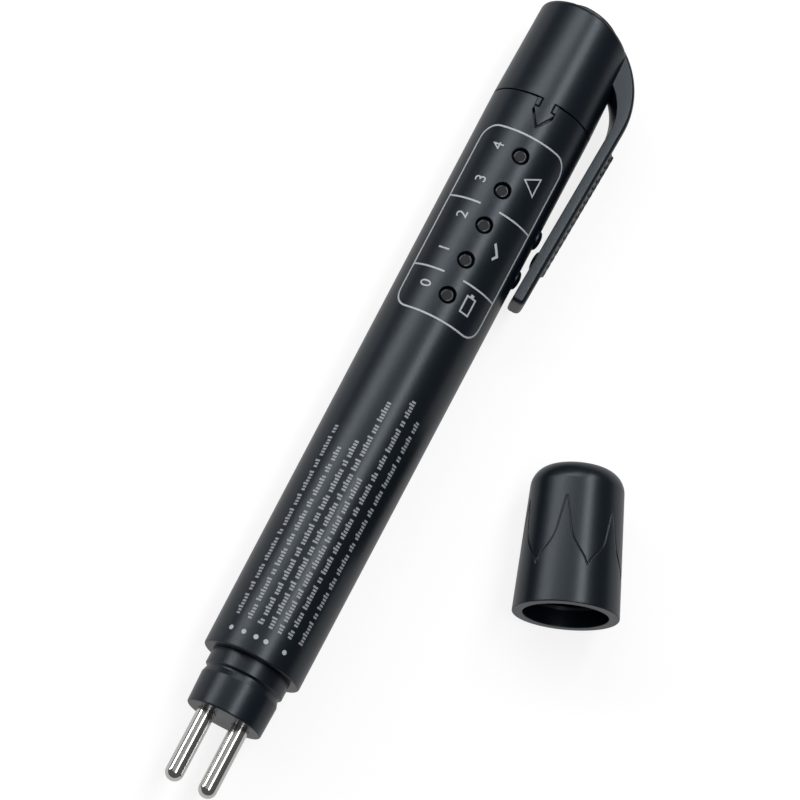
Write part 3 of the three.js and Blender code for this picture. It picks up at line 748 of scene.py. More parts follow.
def make_barrel():
    skin = Skin()
    tip, head = ARROW_TIP - NOTCH_GAP, ARROW_HEAD - NOTCH_GAP
    line = seam_line(ARROW_HALF + NOTCH_SIDE_GAP, tip, head, BARREL_LENGTH)
    top = round_place(barrel_radius, barrel_height(line))
    spigot, bore = round_place(SPIGOT_R), round_place(BORE_R)
    holes, guides = [], [offset(line, EDGE * r) for r in EDGE_ROWS]
    for place in LAMPS:
        holes.append(ring(place, HOLE_R, barrel_radius(place)))
        for r in EDGE_ROWS:
            circle = ring(place, HOLE_R + EDGE * r, barrel_radius(place))
            guides.append(circle + circle[:1])
    for place in CATCHES:
        r = barrel_radius(place)
        for share in CATCH_ROWS:
            count = 32 if share > 0.5 else 16
            turn = [2 * math.pi * k / count for k in range(count + 1)]
            guides.append([
                (
                    place + share * CATCH_HALF_LENGTH * math.cos(t),
                    (math.pi / 2 + share * CATCH_HALF_WIDTH * math.sin(t) / r) * UNROLL,
                )
                for t in turn
            ])
    dots = [(x, a) for x in rows(SHEET_START, BARREL_LENGTH) for a in lattice()]
    between = edge_rows(BARREL_LENGTH, -EDGE, SHEET_START, ROW_PITCH)
    sheet(skin, top, [skin_loop(line, between, SHEET_START), *holes], guides, dots)
    walled(skin, line, top, spigot, 1)
    lead = SPIGOT_END - SPIGOT_LEAD
    middle = [(SPIGOT_ROW, a) for a in lattice()]
    sheet(skin, spigot, [skin_loop(line, [SPIGOT_ROW], lead)], (), middle)
    turned(skin, [(lead, SPIGOT_R), (SPIGOT_END, SPIGOT_R - SPIGOT_LEAD), (SPIGOT_END, BORE_R)])
    inner_holes = [ring(place, HOLE_R, BORE_R) for place in LAMPS]
    side = rows(SPIGOT_END, MOUTH_DEPTH, BORE_PITCH)
    loop = skin_loop([(SPIGOT_END, a) for a in lattice()], side[1:-1], MOUTH_DEPTH)
    sheet(skin, bore, [loop, *inner_holes], (), [(x, a) for x in side for a in lattice()], side=-1)
    for place, hole, inner in zip(LAMPS, holes, inner_holes):
        upper = top(*np.array(hole + hole[:1]).T)
        lower = bore(*np.array(inner + inner[:1]).T)
        turn = [2 * math.pi * k / HOLE_POINTS for k in range(HOLE_POINTS + 1)]
        out = [(-math.cos(t), math.sin(t), 0.0) for t in turn]
        strip(skin, upper, lower, list(zip(out, out[1:])))
    turned(skin, [
        (MOUTH_DEPTH, BORE_R), (MOUTH_DEPTH, MOUTH_R), (0, MOUTH_R),
        (0, SHOULDER_R, SHOULDER_EDGE), (SHEET_START, barrel_radius(SHEET_START)),
    ])
    build(skin, "barrel_shell", "barrel", plastic("black_abs"), ["barrel"])


def arrow_boxes():
    """The engraved lines that set off the arrow's neck: (x0, x1, from, to) on each side."""
    half = LINE_WIDTH / 2
    near, far = NECK_HALF - half, ARROW_HALF + 1
    boxes = []
    for sign in (1, -1):
        boxes.append((NECK_START - half, CAP_FRONT + LINE_REACH, sign, near, NECK_HALF + half))
        boxes.append((NECK_START - half, NECK_START + half, sign, near, far))
        boxes.append((BARREL_LENGTH, CAP_FRONT + LINE_REACH, sign, near, far))
    return boxes


def cap_height(edge_line):
    """The rounded front edge and the arrow's engraved lines, as heights on the cap's skin."""

    def height(x, a):
        angle = a / UNROLL
        aside = SEAM_R * np.sin(angle)
        deep = np.zeros(np.shape(x))
        for x0, x1, sign, near, far in arrow_boxes():
            over = np.maximum.reduce([x0 - x, x - x1, near - sign * aside, sign * aside - far])
            on_tongue = (np.abs(angle) < 1) & (np.abs(aside) < ARROW_HALF + LINE_REACH)
            deep = np.maximum(deep, np.clip(-over / LINE_SLOPE, 0, 1) * on_tongue)
        return -LINE_DEPTH * deep - rolled(distance(x, a, open_edges(edge_line)), FINE_EDGE)

    return height


def end_dip(y, start):
    """How far the swept end of the pen falls away towards the clip."""
    aside = -y
    return np.maximum(start + END_SLOPE * aside + END_BOW * np.maximum(aside, 0) ** 2, 0)


def end_profile():
    """The cap's outline from its side over the rounding to the button's hole."""
    corner, middle_r = CAP_END - CAP_ROUNDING, CAP_END_R - CAP_ROUNDING_DEPTH
    rim = BUTTON_HOLE_R + EDGE
    path = [(x, cap_radius(x)) for x in rows(CAP_SHEET_END, corner, 1)[:-1]]
    for t in quarter(CAP_ROUNDING_STEPS):
        path.append((corner + CAP_ROUNDING * math.sin(t), middle_r + CAP_ROUNDING_DEPTH * math.cos(t)))
    path += [
        (CAP_END, middle_r + (rim - middle_r) * k / CAP_END_RINGS) for k in range(1, CAP_END_RINGS + 1)
    ]
    for t in quarter(EDGE_STEPS)[1:]:
        path.append((CAP_END - EDGE * (1 - math.cos(t)), rim - EDGE * math.sin(t)))
    return np.array([(float(x), float(r)) for x, r in path])


def make_cap():
    skin = Skin()
    half, slope = LINE_WIDTH / 2, LINE_SLOPE
    extra = [NECK_START - half, NECK_START - half + slope, NECK_START + half - slope, NECK_START + half]
    extra += [BARREL_LENGTH, BARREL_LENGTH + slope]
    line = seam_line(ARROW_HALF, ARROW_TIP, ARROW_HEAD, CAP_FRONT, extra)
    top, bore = round_place(cap_radius, cap_height(line)), round_place(CAP_BORE_R)
    guides = [offset(line, -FINE_EDGE * r) for r in EDGE_ROWS]
    for x0, x1, sign, near, far in arrow_boxes():
        for inset in (-LINE_GUARD, 0, LINE_SLOPE):
            y0, y1 = near + inset, min(far - inset, ARROW_HALF - 0.001)
            a0, a1 = (sign * math.asin(y / SEAM_R) * UNROLL for y in (y0, y1))
            guides.append([(x0 + inset, a1), (x0 + inset, a0), (x1 - inset, a0), (x1 - inset, a1)])
            if far < ARROW_HALF:
                guides[-1].append(guides[-1][0])
    places = [*rows(CAP_FRONT, CAP_SHEET_END, CAP_PITCH), *ARROW_ROWS]
    dots = [(x, a) for x in places for a in lattice()]
    loop = skin_loop(line, edge_rows(CAP_FRONT, FINE_EDGE, CAP_SHEET_END, CAP_PITCH), CAP_SHEET_END)
    sheet(skin, top, [loop], guides, dots, clear=CAP_CLEAR)
    walled(skin, line, top, bore, -1)
    middle = [(SPIGOT_ROW, a) for a in lattice()]
    sheet(skin, bore, [skin_loop(line, [SPIGOT_ROW], PARTITION_FRONT)], (), middle, side=-1)
    angles = [a / UNROLL for a in lattice()]
    profile = end_profile()
    y = -profile[:, 1] * np.sin(angles)[:, None]
    z = profile[:, 1] * np.cos(angles)[:, None]
    share = np.clip((profile[:, 0] - CAP_SHEET_END) / (CAP_END - CAP_ROUNDING - CAP_SHEET_END), 0, 1)
    grid = np.stack([profile[:, 0] - end_dip(y, CAP_DIP) * share, y, z], axis=-1)
    normals = grid_normals(grid)
    cone = math.atan2(SEAM_R - CAP_END_R, CAP_END - CAP_ROUNDING - CAP_FRONT)
    for k, angle in enumerate(angles):
        normals[k, 0] = around((math.sin(cone), math.cos(cone)), angle)
    for k in range(SIDES):
        for j in range(grid.shape[1] - 1):
            corners = ((k, j), (k + 1, j), (k + 1, j + 1), (k, j + 1))
            skin.face([grid[c] for c in corners], [normals[c] for c in corners])
        inward = [around((0, -1), angle) for angle in angles[k : k + 2]]
        low = [around((CHAMBER_END, BUTTON_HOLE_R), angle) for angle in angles[k : k + 2]]
        strip(skin, grid[k : k + 2, -1], low, [inward])
    turned(skin, [
        (CHAMBER_END, BUTTON_HOLE_R), (CHAMBER_END, CHAMBER_R), (PARTITION_BACK, CHAMBER_R),
        (PARTITION_BACK, STEM_HOLE_R), (PARTITION_FRONT, STEM_HOLE_R), (PARTITION_FRONT, CAP_BORE_R),
    ])
    build(skin, "cap_shell", "end_cap", plastic("black_abs"), ["end_cap"])


def grid_normals(grid):
    """Normals of a grid that goes round the pen in its first direction, pointing outwards."""
    around_pen = np.roll(grid[:-1], -1, axis=0) - np.roll(grid[:-1], 1, axis=0)
    around_pen = np.concatenate([around_pen, around_pen[:1]])
    along = np.gradient(grid, axis=1)
    normal = unit(np.cross(around_pen, along))
    flip = np.sign((normal[:, :4] * grid[:, :4] * (0, 1, 1)).sum())
    return normal * flip


def make_nose():
    skin = Skin()
    turned(skin, [
        (NOSE_END, NOSE_END_R - NOSE_FACE_RIM), (NOSE_END, NOSE_END_R, NOSE_EDGE),
        (COLLAR_REAR, COLLAR_R, COLLAR_EDGE), (GROOVE_FRONT, GROOVE_R, FINE_EDGE),
        (GROOVE_REAR, GROOVE_R, FINE_EDGE), (NECK_END, NOSE_R, COLLAR_EDGE), (0, NOSE_R, FINE_EDGE),
        (0, NOSE_PLUG_R), (NOSE_PLUG, NOSE_PLUG_R), (NOSE_PLUG, NOSE_END_R - NOSE_TAIL_RIM),
    ])
    turn = [2 * math.pi * k / PIN_HOLE_SIDES for k in range(PIN_HOLE_SIDES)]
    faces = (
        (NOSE_END, FINE_EDGE, 1, NOSE_END_R - NOSE_FACE_RIM),
        (NOSE_PLUG, 0, -1, NOSE_END_R - NOSE_TAIL_RIM),
    )

    def circle(aside, r):
        return [(aside + r * math.cos(t), r * math.sin(t)) for t in turn]

    for x, rim, side, radius in faces:

        def place(y, z, x=x, rim=rim):
            gap = np.minimum(np.hypot(y - PIN_ASIDE, z), np.hypot(y + PIN_ASIDE, z)) - PIN_HOLE_R
            deep = rolled(gap, rim) if rim else np.zeros(np.shape(y))
            return np.stack([x + deep, y, z], axis=-1)

        outer = [(-radius * math.sin(a / UNROLL), radius * math.cos(a / UNROLL)) for a in lattice()[:-1]]
        holes = [circle(PIN_ASIDE, PIN_HOLE_R), circle(-PIN_ASIDE, PIN_HOLE_R)]
        guides = [circle(s * PIN_ASIDE, PIN_HOLE_R + rim * r) for s in (1, -1) for r in EDGE_ROWS if rim]
        sheet(skin, place, [outer, *holes], [g + g[:1] for g in guides], side=side)
    for aside in (PIN_ASIDE, -PIN_ASIDE):
        loop = circle(aside, PIN_HOLE_R)
        loop.append(loop[0])
        out = [(0.0, -math.cos(t), -math.sin(t)) for t in [*turn, 0.0]]
        upper = [(NOSE_END + FINE_EDGE, y, z) for y, z in loop]
        lower = [(NOSE_PLUG, y, z) for y, z in loop]
        strip(skin, upper, lower, list(zip(out, out[1:])))
    # Lighter copy of the black plastic: painted light on the nose's front face
    build(skin, "nose_piece", "barrel", plastic("black_abs_nose", NOSE_PAINTED_LIGHT), ["nose"])


def make_pin(name, node, aside):
    skin = Skin()
    outline = [(PIN_TIP, 0), (PIN_TIP, PIN_R, PIN_R), (PIN_TAIL, PIN_R, PIN_TAIL_EDGE), (PIN_TAIL, 0)]
    turned(skin, outline, sides=PIN_SIDES, steps=PIN_TIP_STEPS)
    build(skin, name, "barrel", nickel(), [node], Matrix.Translation((0, aside, 0)))


def make_lens(number, x):
    skin = Skin()
    top, flange = barrel_radius(x) - LENS_RECESS, LENS_BASE + LENS_FLANGE
    turned(skin, [
        (top, 0), (top, LENS_R, LENS_ROUNDING), (flange, LENS_R, LENS_CORNER),
        (flange, LENS_FLANGE_R, LENS_FLANGE_EDGE), (LENS_BASE, LENS_FLANGE_R, LENS_CORNER),
        (LENS_BASE, 0),
    ], sides=LENS_SIDES, steps=LENS_STEPS)
    build(skin, f"lamp_lens_{number}", "barrel", lens(), [f"lamp_{number}"], upright(x))


def bend(skin, shift):
    """Moves corners along the pen by a shift that depends on their place, and turns their normals."""
    reach = 0.01
    old = [np.array(p) for p in skin.points]
    for corner, i in enumerate(i for face in skin.faces for i in face):
        steps = np.eye(3) * reach
        slope = [(shift(*(old[i] + step)) - shift(*(old[i] - step))) / (2 * reach) for step in steps]
        nx, ny, nz = skin.normals[corner]
        nx /= 1 + slope[0]
        skin.normals[corner] = (nx, ny - slope[1] * nx, nz - slope[2] * nx)
    skin.points = [(x + float(shift(x, y, z)), y, z) for x, y, z in skin.points]


def make_button():
    skin = Skin()
    turned(skin, [
        (STEM_END, 0), (STEM_END, STEM_R, FINE_EDGE), (BUTTON_CEILING, STEM_R),
        (BUTTON_CEILING, BUTTON_INNER_R), (BUTTON_FLANGE_BOTTOM, BUTTON_INNER_R),
        (BUTTON_FLANGE_BOTTOM, BUTTON_FLANGE_R, FINE_EDGE),
        (BUTTON_FLANGE_TOP, BUTTON_FLANGE_R, FINE_EDGE), (BUTTON_FLANGE_TOP, BUTTON_R),
        (BUTTON_TOP, BUTTON_R, BUTTON_EDGE), (BUTTON_TOP, 0),
    ], steps=BUTTON_STEPS)

    def dip(x, y, z):
        share = np.clip((x - BUTTON_LEVEL) / (BUTTON_TOP - BUTTON_EDGE - BUTTON_LEVEL), 0, 1)
        return -share * end_dip(y, BUTTON_DIP)

    bend(skin, dip)
    finish = plastic("black_abs_button")
    build(skin, "button_piece", "push_button", finish, ["push_button"])


def clip_face(x):
    """How far the clip's flat inner face stands from the pen's axis."""
    share = (x - CLIP_TIP) / (CLIP_INNER_X - CLIP_TIP)
    return CLIP_TIP_STAND + (CLIP_INNER_RISE + CLIP_INNER_R - CLIP_TIP_STAND) * share


def clip_back(x):
    """How far the clip's outer face stands from the pen's axis."""
    share = (x - CLIP_TIP) / (SWEEP_X - CLIP_TIP)
    return CLIP_TIP_OUTER + (SWEEP_TOP - CLIP_TIP_OUTER) * share


def clip_stations():
    """Inner and outer points (x, stand) down the clip, with how full it is and how far it bulges."""
    low = CLIP_ROOT_STAND
    inner_from = math.asin((low - CLIP_INNER_RISE) / CLIP_INNER_R)
    outer_from = math.asin((low + SWEEP_DROP) / SWEEP_R)
    stations = []
    for k in range(ARCH_STEPS + 1):
        share = k / ARCH_STEPS
        t, s = (f + (math.pi / 2 - f) * share for f in (inner_from, outer_from))
        inner = (CLIP_INNER_X + CLIP_INNER_R * math.cos(t), CLIP_INNER_RISE + CLIP_INNER_R * math.sin(t))
        outer = (SWEEP_X + SWEEP_R * math.cos(s), SWEEP_R * math.sin(s) - SWEEP_DROP)
        fullness = math.cos(math.pi / 2 * share) ** ARCH_FULLNESS
        swell = CLIP_ARM_BULGE + (CLIP_ARCH_BULGE - CLIP_ARM_BULGE) * fullness
        stations.append((inner, outer, 1.0, swell))
    for x in rows(CLIP_INNER_X, CLIP_TIP + CLIP_TIP_EDGE, ARM_PITCH)[1:]:
        outer_x = CLIP_TIP + (SWEEP_X - CLIP_TIP) * (x - CLIP_TIP) / (CLIP_INNER_X - CLIP_TIP)
        stations.append(((x, clip_face(x)), (outer_x, clip_back(outer_x)), 1.0, CLIP_ARM_BULGE))
    for t in quarter(TIP_STEPS)[1:]:
        x = CLIP_TIP + CLIP_TIP_EDGE * (1 - math.sin(t))
        fall = CLIP_TIP_EDGE * (1 - math.cos(t))
        inner, outer = (x, CLIP_TIP_STAND + fall), (x, CLIP_TIP_OUTER - fall)
        stations.append((inner, outer, math.cos(t), CLIP_ARM_BULGE * math.cos(t)))
    return stations


def clip_section(size, half, swell):
    """The clip's cut outline (depth, width) from its inner face."""
    outer, inner = min(CLIP_OUTER_EDGE, size * 0.4), min(CLIP_INNER_EDGE, size * 0.4)
    crown = min(CLIP_CROWN, size * 0.1)
    line = []
    for sign in (1, -1):
        side = []
        for k in range(FACE_STEPS):
            share = k / FACE_STEPS
            side.append((-swell * (1 - share * share), share * (half - inner)))
        for t in quarter(INNER_EDGE_STEPS):
            side.append((inner * (1 - math.cos(t)), half - inner + inner * math.sin(t)))
        for t in quarter(OUTER_EDGE_STEPS):
            side.append((size - crown - outer + outer * math.sin(t), half - outer + outer * math.cos(t)))
        for k in reversed(range(FACE_STEPS)):
            share = k / FACE_STEPS
            side.append((size - crown * share * share, share * (half - outer)))
        line.append([(d, sign * z) for d, z in side])
    return line[0] + line[1][-2:0:-1]


def make_clip():
    skin = Skin()
    sections = []
    for low, high, full, swell in clip_stations():
        low, high = np.array(low), np.array(high)
        across = high - low
        size = np.linalg.norm(across)
        across /= size
        half = CLIP_HALF_WIDTH - CLIP_OUTER_EDGE * (1 - full)
        outline = clip_section(size, half, swell)
        sections.append([(low[0] + across[0] * d, -(low[1] + across[1] * d), z) for d, z in outline])
    grid = np.array(sections)
    around_arm = np.roll(grid, -1, axis=1) - np.roll(grid, 1, axis=1)
    along_arm = np.gradient(grid, axis=0)
    normals = unit(np.cross(around_arm, along_arm))
    if (normals[0] * (grid[0] - grid[0].mean(axis=0))).sum() < 0:
        normals = -normals
    count = grid.shape[1]
    for k in range(len(grid) - 1):
        for j in range(count):
            i = (j + 1) % count
            corners = ((k, j), (k, i), (k + 1, i), (k + 1, j))
            skin.face([grid[c] for c in corners], [normals[c] for c in corners])
    for k, normal in ((0, (1.0, 1.0, 0.0)), (-1, (-1.0, 0.0, 0.0))):
        skin.face(list(grid[k]), [normal] * count)
    make_nub(skin)
    for k in range(RIB_COUNT):
        high = RIB_REAR_HEIGHT + (RIB_FRONT_HEIGHT - RIB_REAR_HEIGHT) * k / (RIB_COUNT - 1)
        make_rib(skin, RIB_REAR - k * RIB_PITCH, high)
    build(skin, "clip_arm", "clip", plastic("black_abs_clip"), ["clip"])


def make_nub(skin, rings=8, sides=32):
    """The round bump on the clip's inner face."""
    face = clip_face(NUB_X)
    tall = face - NUB_STAND

    def point(ring, side):
        tilt, turn = math.pi / 2 * ring / rings, 2 * math.pi * side / sides
        out = math.sin(tilt)
        way = (out * math.cos(turn), math.cos(tilt), out * math.sin(turn))
        place = (NUB_X + NUB_HALF * way[0], -face + tall * way[1], NUB_HALF * way[2])
        normal = (way[0] / NUB_HALF, way[1] / tall, way[2] / NUB_HALF)
        return place, normal

    for ring in range(rings):
        for side in range(sides):
            four = [point(ring + r, side + s) for r, s in ((0, 0), (0, 1), (1, 1), (1, 0))]
            skin.face([p for p, _ in four], [n for _, n in four])
    rim = [point(rings, side)[0] for side in range(sides)]
    skin.face(rim, [(0.0, -1.0, 0.0)] * sides)


def make_rib(skin, middle, high):
    """A rib across the clip's outer face, with steep sloping ends and a step up to its crest."""
    low = high * RIB_STEP_SHARE
    stops = [(RIB_END, -RIB_END_SUNK), (RIB_STEP + RIB_STEP_RUN, low), (RIB_STEP, high)]
    stops += [(-z, stand) for z, stand in reversed(stops)]
    level, half = clip_back(middle), RIB_WIDTH / 2

    def section(stand):
        """Corners (x, stand) of a cut through the rib, each with its normal."""
        edge = min(RIB_ROUNDING, (stand + RIB_ROOT) / 2)
        line = [((-half, -RIB_ROOT), (-1.0, 0.0))]
        for sign in (-1, 1):
            turns = quarter(RIB_EDGE_STEPS)
            for t in turns if sign < 0 else reversed(turns):
                normal = (sign * math.cos(t), math.sin(t))
                place = (sign * (half - edge) + edge * normal[0], stand - edge + edge * normal[1])
                line.append((place, normal))
        return line + [((half, -RIB_ROOT), (1.0, 0.0))]

    for (z0, s0), (z1, s1) in zip(stops, stops[1:]):
        size = math.hypot(z1 - z0, s1 - s0)
        rise, turn = (z0 - z1) / size, (s1 - s0) / size
        near, far = section(s0), section(s1)
        for k in range(len(near) - 1):
            places, normals = [], []
            four = ((*near[k], z0), (*near[k + 1], z0), (*far[k + 1], z1), (*far[k], z1))
            for (x, stand), (nx, out), z in four:
                places.append((middle + x, -level - stand, z))
                normals.append((nx, -out * rise, out * turn))
            skin.face(places, normals)
    for z, way in ((RIB_END, 1.0), (-RIB_END, -1.0)):
        ends = [(middle + x, -level - stand, z) for (x, stand), _ in section(-RIB_END_SUNK)]
        skin.face(ends, [(0.0, 0.0, way)] * len(ends))


def petal_lines():
    """The cover's ornament as unrolled lines: a zigzag of pointed petals with waisted sides."""
    count = looks().petal_count
    half = math.pi / count
    lines = []
    for k in range(count):
        middle = PETAL_TURN + 2 * half * k
        middle = (middle + math.pi) % (2 * math.pi) - math.pi
        for sign in (1, -1):
            reach = PETAL_REACH[k % len(PETAL_REACH)]
            foot = PETAL_LINE[0][0]
            lines.append([
                (foot + (x - foot) * reach, (middle + sign * share * half) * UNROLL)
                for x, share in PETAL_LINE
            ])
    return lines


def make_cover():
    skin = Skin()
    drawn = petal_lines()
    back = UNROLL * math.pi
    width, depth = looks().petal_line_width * MM / 2, looks().petal_line_depth * MM
    wrapped = drawn + [[(x, a + 2 * back * s) for x, a in line] for line in drawn for s in (1, -1)]

    def height(x, a):
        gap = np.clip(distance(x, a, wrapped) / width, 0, 1)
        return -depth * np.cos(gap * math.pi / 2) ** 2

    guides = []
    for line in drawn:
        for share in PETAL_GUIDES:
            for sign in ((1, -1) if share else (1,)):
                moved = offset(line, sign * share * width)
                if max(abs(a) for _, a in moved) < back:
                    guides.append(moved)
    start, end = COVER_SHEET
    side = rows(start, end, COVER_PITCH)
    loop = skin_loop([(start, a) for a in lattice()], side[1:-1], end)
    dots = [(x, a) for x in side for a in lattice()]
    sheet(skin, round_place(cover_radius, height), [loop], guides, dots, clear=COVER_CLEAR)
    inner_end = COVER_LENGTH - COVER_END_WALL
    neck_back = COVER_NECK_DEPTH + COVER_INNER_SHOULDER
    turned(skin, [
        (inner_end, 0), (inner_end, COVER_INNER_R - COVER_INNER_SHOULDER),
        (inner_end - COVER_INNER_SHOULDER, COVER_INNER_R), (neck_back, COVER_INNER_R),
        (COVER_NECK_DEPTH, COVER_MOUTH_R),
        (COVER_BEAD_X + COVER_BEAD_HALF, COVER_MOUTH_R, COVER_BEAD_ROUNDING),
        (COVER_BEAD_X, COVER_MOUTH_R - COVER_BEAD, COVER_BEAD_ROUNDING),
        (COVER_BEAD_X - COVER_BEAD_HALF, COVER_MOUTH_R, COVER_BEAD_ROUNDING),
        (0, COVER_MOUTH_R, EDGE), (0, COVER_OUTER_R, COVER_RIM_ROUNDING), (start, cover_radius(start)),
    ])
    turned(skin, [
        (end, cover_radius(end)), (COVER_LENGTH, cover_radius(COVER_LENGTH), COVER_ROUNDING),
        (COVER_LENGTH, 0),
    ], steps=COVER_DOME_STEPS)
    finish = plastic("black_abs")
    build(skin, "cover_cup", "probe_cover", finish, ["probe_cover"], cover_seat())


# Printing


def flat_curve(name, loops):
    """A flat filled curve of closed loops. A loop inside another one is a hole in it."""
    curve = bpy.data.curves.new(name, "CURVE")
    curve.dimensions, curve.fill_mode = "2D", "BOTH"
    for points in loops:
        spline = curve.splines.new("POLY")
        spline.points.add(len(points) - 1)
        for point, (x, y) in zip(spline.points, points):
            point.co = (x, y, 0, 1)
        spline.use_cyclic_u = True
    return curve


def flat_mesh(data):
    """The filled, thickened shape of a flat curve or a text, in its own plane."""
    data.extrude = (looks().ink_thickness * MM + INK_SUNK) / 2
    thing = bpy.data.objects.new(data.name, data)
    bpy.context.scene.collection.objects.link(thing)
    bpy.context.view_layer.update()
    mesh = bpy.data.meshes.new_from_object(thing.evaluated_get(bpy.context.evaluated_depsgraph_get()))
    bpy.data.objects.remove(thing)
    if not mesh.vertices:
        raise RuntimeError(f"the printed shape {data.name} came out empty")
    return mesh


def wrap(form, mesh, to_pen=lambda x, a: (x, a)):
    """Adds a flat shape to form, cut into narrow bands and laid on the barrel's skin."""
    part = bmesh.new()
    part.from_mesh(mesh)
    for vertex in part.verts:
        x, a = to_pen(vertex.co.x, vertex.co.y)
        vertex.co = (x, a, vertex.co.z)
    wide = [v.co.y for v in part.verts]
    cut = math.ceil(min(wide) / WRAP_PITCH) * WRAP_PITCH
    while cut < max(wide):
        everything = part.verts[:] + part.edges[:] + part.faces[:]
        bmesh.ops.bisect_plane(part, geom=everything, plane_co=(0, cut, 0), plane_no=(0, 1, 0))
        cut += WRAP_PITCH
    bmesh.ops.remove_doubles(part, verts=part.verts[:], dist=1e-5)
    thick = looks().ink_thickness * MM
    lift = thick - (thick + INK_SUNK) / 2
    for vertex in part.verts:
        x, a, z = vertex.co
        r = barrel_radius(x) + z + lift
        angle = a / UNROLL
        vertex.co = PEN @ Vector((x, -r * math.sin(angle), r * math.cos(angle)))
    bmesh.ops.recalc_face_normals(part, faces=part.faces[:])
    cooked = bpy.data.meshes.new("part")
    part.to_mesh(cooked)
    part.free()
    form.from_mesh(cooked)
    bpy.data.meshes.remove(cooked)


def degrees(angle):
    """The unrolled place of an angle round the pen."""
    return math.radians(angle) * UNROLL


def mark_place(mark):
    """Where a mark starts and ends along the pen, and its two edges on the unrolled skin."""
    return mark[0], mark[1], degrees(mark[2]), degrees(mark[3])


def rectangle(x0, x1, a0, a1):
    return [(x0, a0), (x1, a0), (x1, a1), (x0, a1)]


def rounded_rectangle(x0, x1, a0, a1, radius):
    start, end, low, high = x0 + radius, x1 - radius, a0 + radius, a1 - radius
    points = []
    for turn, (x, a) in enumerate(((end, high), (start, high), (start, low), (end, low))):
        for t in quarter(PANEL_CORNER_STEPS):
            t += math.pi / 2 * turn
            points.append((x + radius * math.cos(t), a + radius * math.sin(t)))
    return points


def panel_loops():
    """The panel's outline, as its outer and its inner edge."""
    x0, x1, a0, a1 = mark_place(PANEL)
    return [
        rounded_rectangle(x0 - w, x1 + w, a0 - w, a1 + w, PANEL_CORNER + w)
        for w in (PANEL_LINE / 2, -PANEL_LINE / 2)
    ]


def divider_loops():
    """Lines across the panel, each ending just inside its outline."""
    half = PANEL_LINE / 2
    loops = []
    for x, low, high in DIVIDERS:
        a0, a1 = degrees(low), degrees(high)
        gap = half * DIVIDER_GAP
        a0, a1 = (a0 + gap, a1) if low == PANEL[2] else (a0, a1 - gap)
        loops.append(rectangle(x - half, x + half, a0, a1))
    return loops


def add_numbers(form):
    foot, top = (degrees(angle) for angle in NUMBER_ANGLES)
    for number, place in NUMBERS:
        data = bpy.data.curves.new("number", "FONT")
        data.body = number
        mesh = flat_mesh(data)
        xs, ys = [v.co.x for v in mesh.vertices], [v.co.y for v in mesh.vertices]
        middle, low = (min(xs) + max(xs)) / 2, min(ys)
        scale = (top - foot) / (max(ys) - low)

        def to_pen(x, y, place=place, middle=middle, low=low, scale=scale):
            return place + (x - middle) * abs(scale), foot + (y - low) * scale

        wrap(form, mesh, to_pen)


def sign_loops():
    """An empty triangle, a tick and the outline of a battery."""
    x0, x1, a0, a1 = mark_place(TRIANGLE)
    middle = (x0 + x1) / 2
    slope = math.hypot(a1 - a0, (x1 - x0) / 2) / ((x1 - x0) / 2)
    top, low = a0 + TRIANGLE_LINE * slope, a1 - TRIANGLE_LINE
    half = (low - top) * (x1 - x0) / 2 / (a1 - a0)
    loops = [[(middle, a0), (x1, a1), (x0, a1)]]
    loops.append([(middle, top), (middle + half, low), (middle - half, low)])
    x0, x1, a0, a1 = mark_place(TICK_MARK)
    loops.append([(x0 + (x1 - x0) * along, a0 + (a1 - a0) * up) for along, up in TICK_OUTLINE])
    x0, x1, a0, a1 = mark_place(BATTERY_MARK)
    end, third = x1 - BATTERY_KNOB, (a1 - a0) / 3
    knob = [(end, a0 + third), (x1, a0 + third), (x1, a1 - third), (end, a1 - third)]
    loops.append([(x0, a0), (end, a0), *knob, (end, a1), (x0, a1)])
    w = BATTERY_LINE
    return [*loops, rectangle(x0 + w, end - w, a0 + w, a1 - w)]


def dot_loops():
    turns = [2 * math.pi * k / DOT_POINTS for k in range(DOT_POINTS)]
    return [
        [(DOT_X + DOT_R * math.cos(t), degrees(angle) + DOT_R * math.sin(t)) for t in turns]
        for angle in DOT_ANGLES
    ]


def tick_loops():
    """Rows of plain ticks in uneven groups, which stand on one line in each row."""
    loops = []
    for row, (start, end, angle) in enumerate(TICK_ROWS):
        x, group, tick = start, row * 2, row
        foot = degrees(angle) + TICK_HEIGHTS[0] / 2
        while x < end:
            for _ in range(TICKS_IN_GROUP[group % len(TICKS_IN_GROUP)]):
                top = foot - TICK_HEIGHTS[tick % len(TICK_HEIGHTS)]
                loops.append(rectangle(x, x + TICK_WIDTH, foot, top))
                x, tick = x + TICK_PITCH, tick + 1
            x, group = x + TICK_PITCH, group + 1
    return loops


def make_print():
    """Panel outline, scale marks and dots in one thin layer of ink, and the ticks in another."""
    form, fine = bmesh.new(), bmesh.new()
    wrap(form, flat_mesh(flat_curve("panel", panel_loops())))
    wrap(form, flat_mesh(flat_curve("dividers", divider_loops())))
    add_numbers(form)
    wrap(form, flat_mesh(flat_curve("signs", sign_loops())))
    wrap(form, flat_mesh(flat_curve("dots", dot_loops())))
    wrap(fine, flat_mesh(flat_curve("ticks", tick_loops())))
    # The ticks are fine lines, in which the ink lies thinner and looks greyer
    thin = ink("pad_printed_fine_ink", looks().fine_ink_colour)
    for part, name, finish in (
        (form, "legend_print", ink("pad_printed_ink", looks().ink_colour)),
        (fine, "fine_print", thin),
    ):
        mesh = bpy.data.meshes.new(name)
        part.to_mesh(mesh)
        part.free()
        tie(mesh, name, "barrel", finish)


# Materials of the pieces inside, which keep their CAD shapes


def dress(nodes, material):
    """Gives CAD nodes a material in place of their own."""
    for name in nodes:
        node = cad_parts[name]
        node.data.materials.clear()
        node.data.materials.append(material)


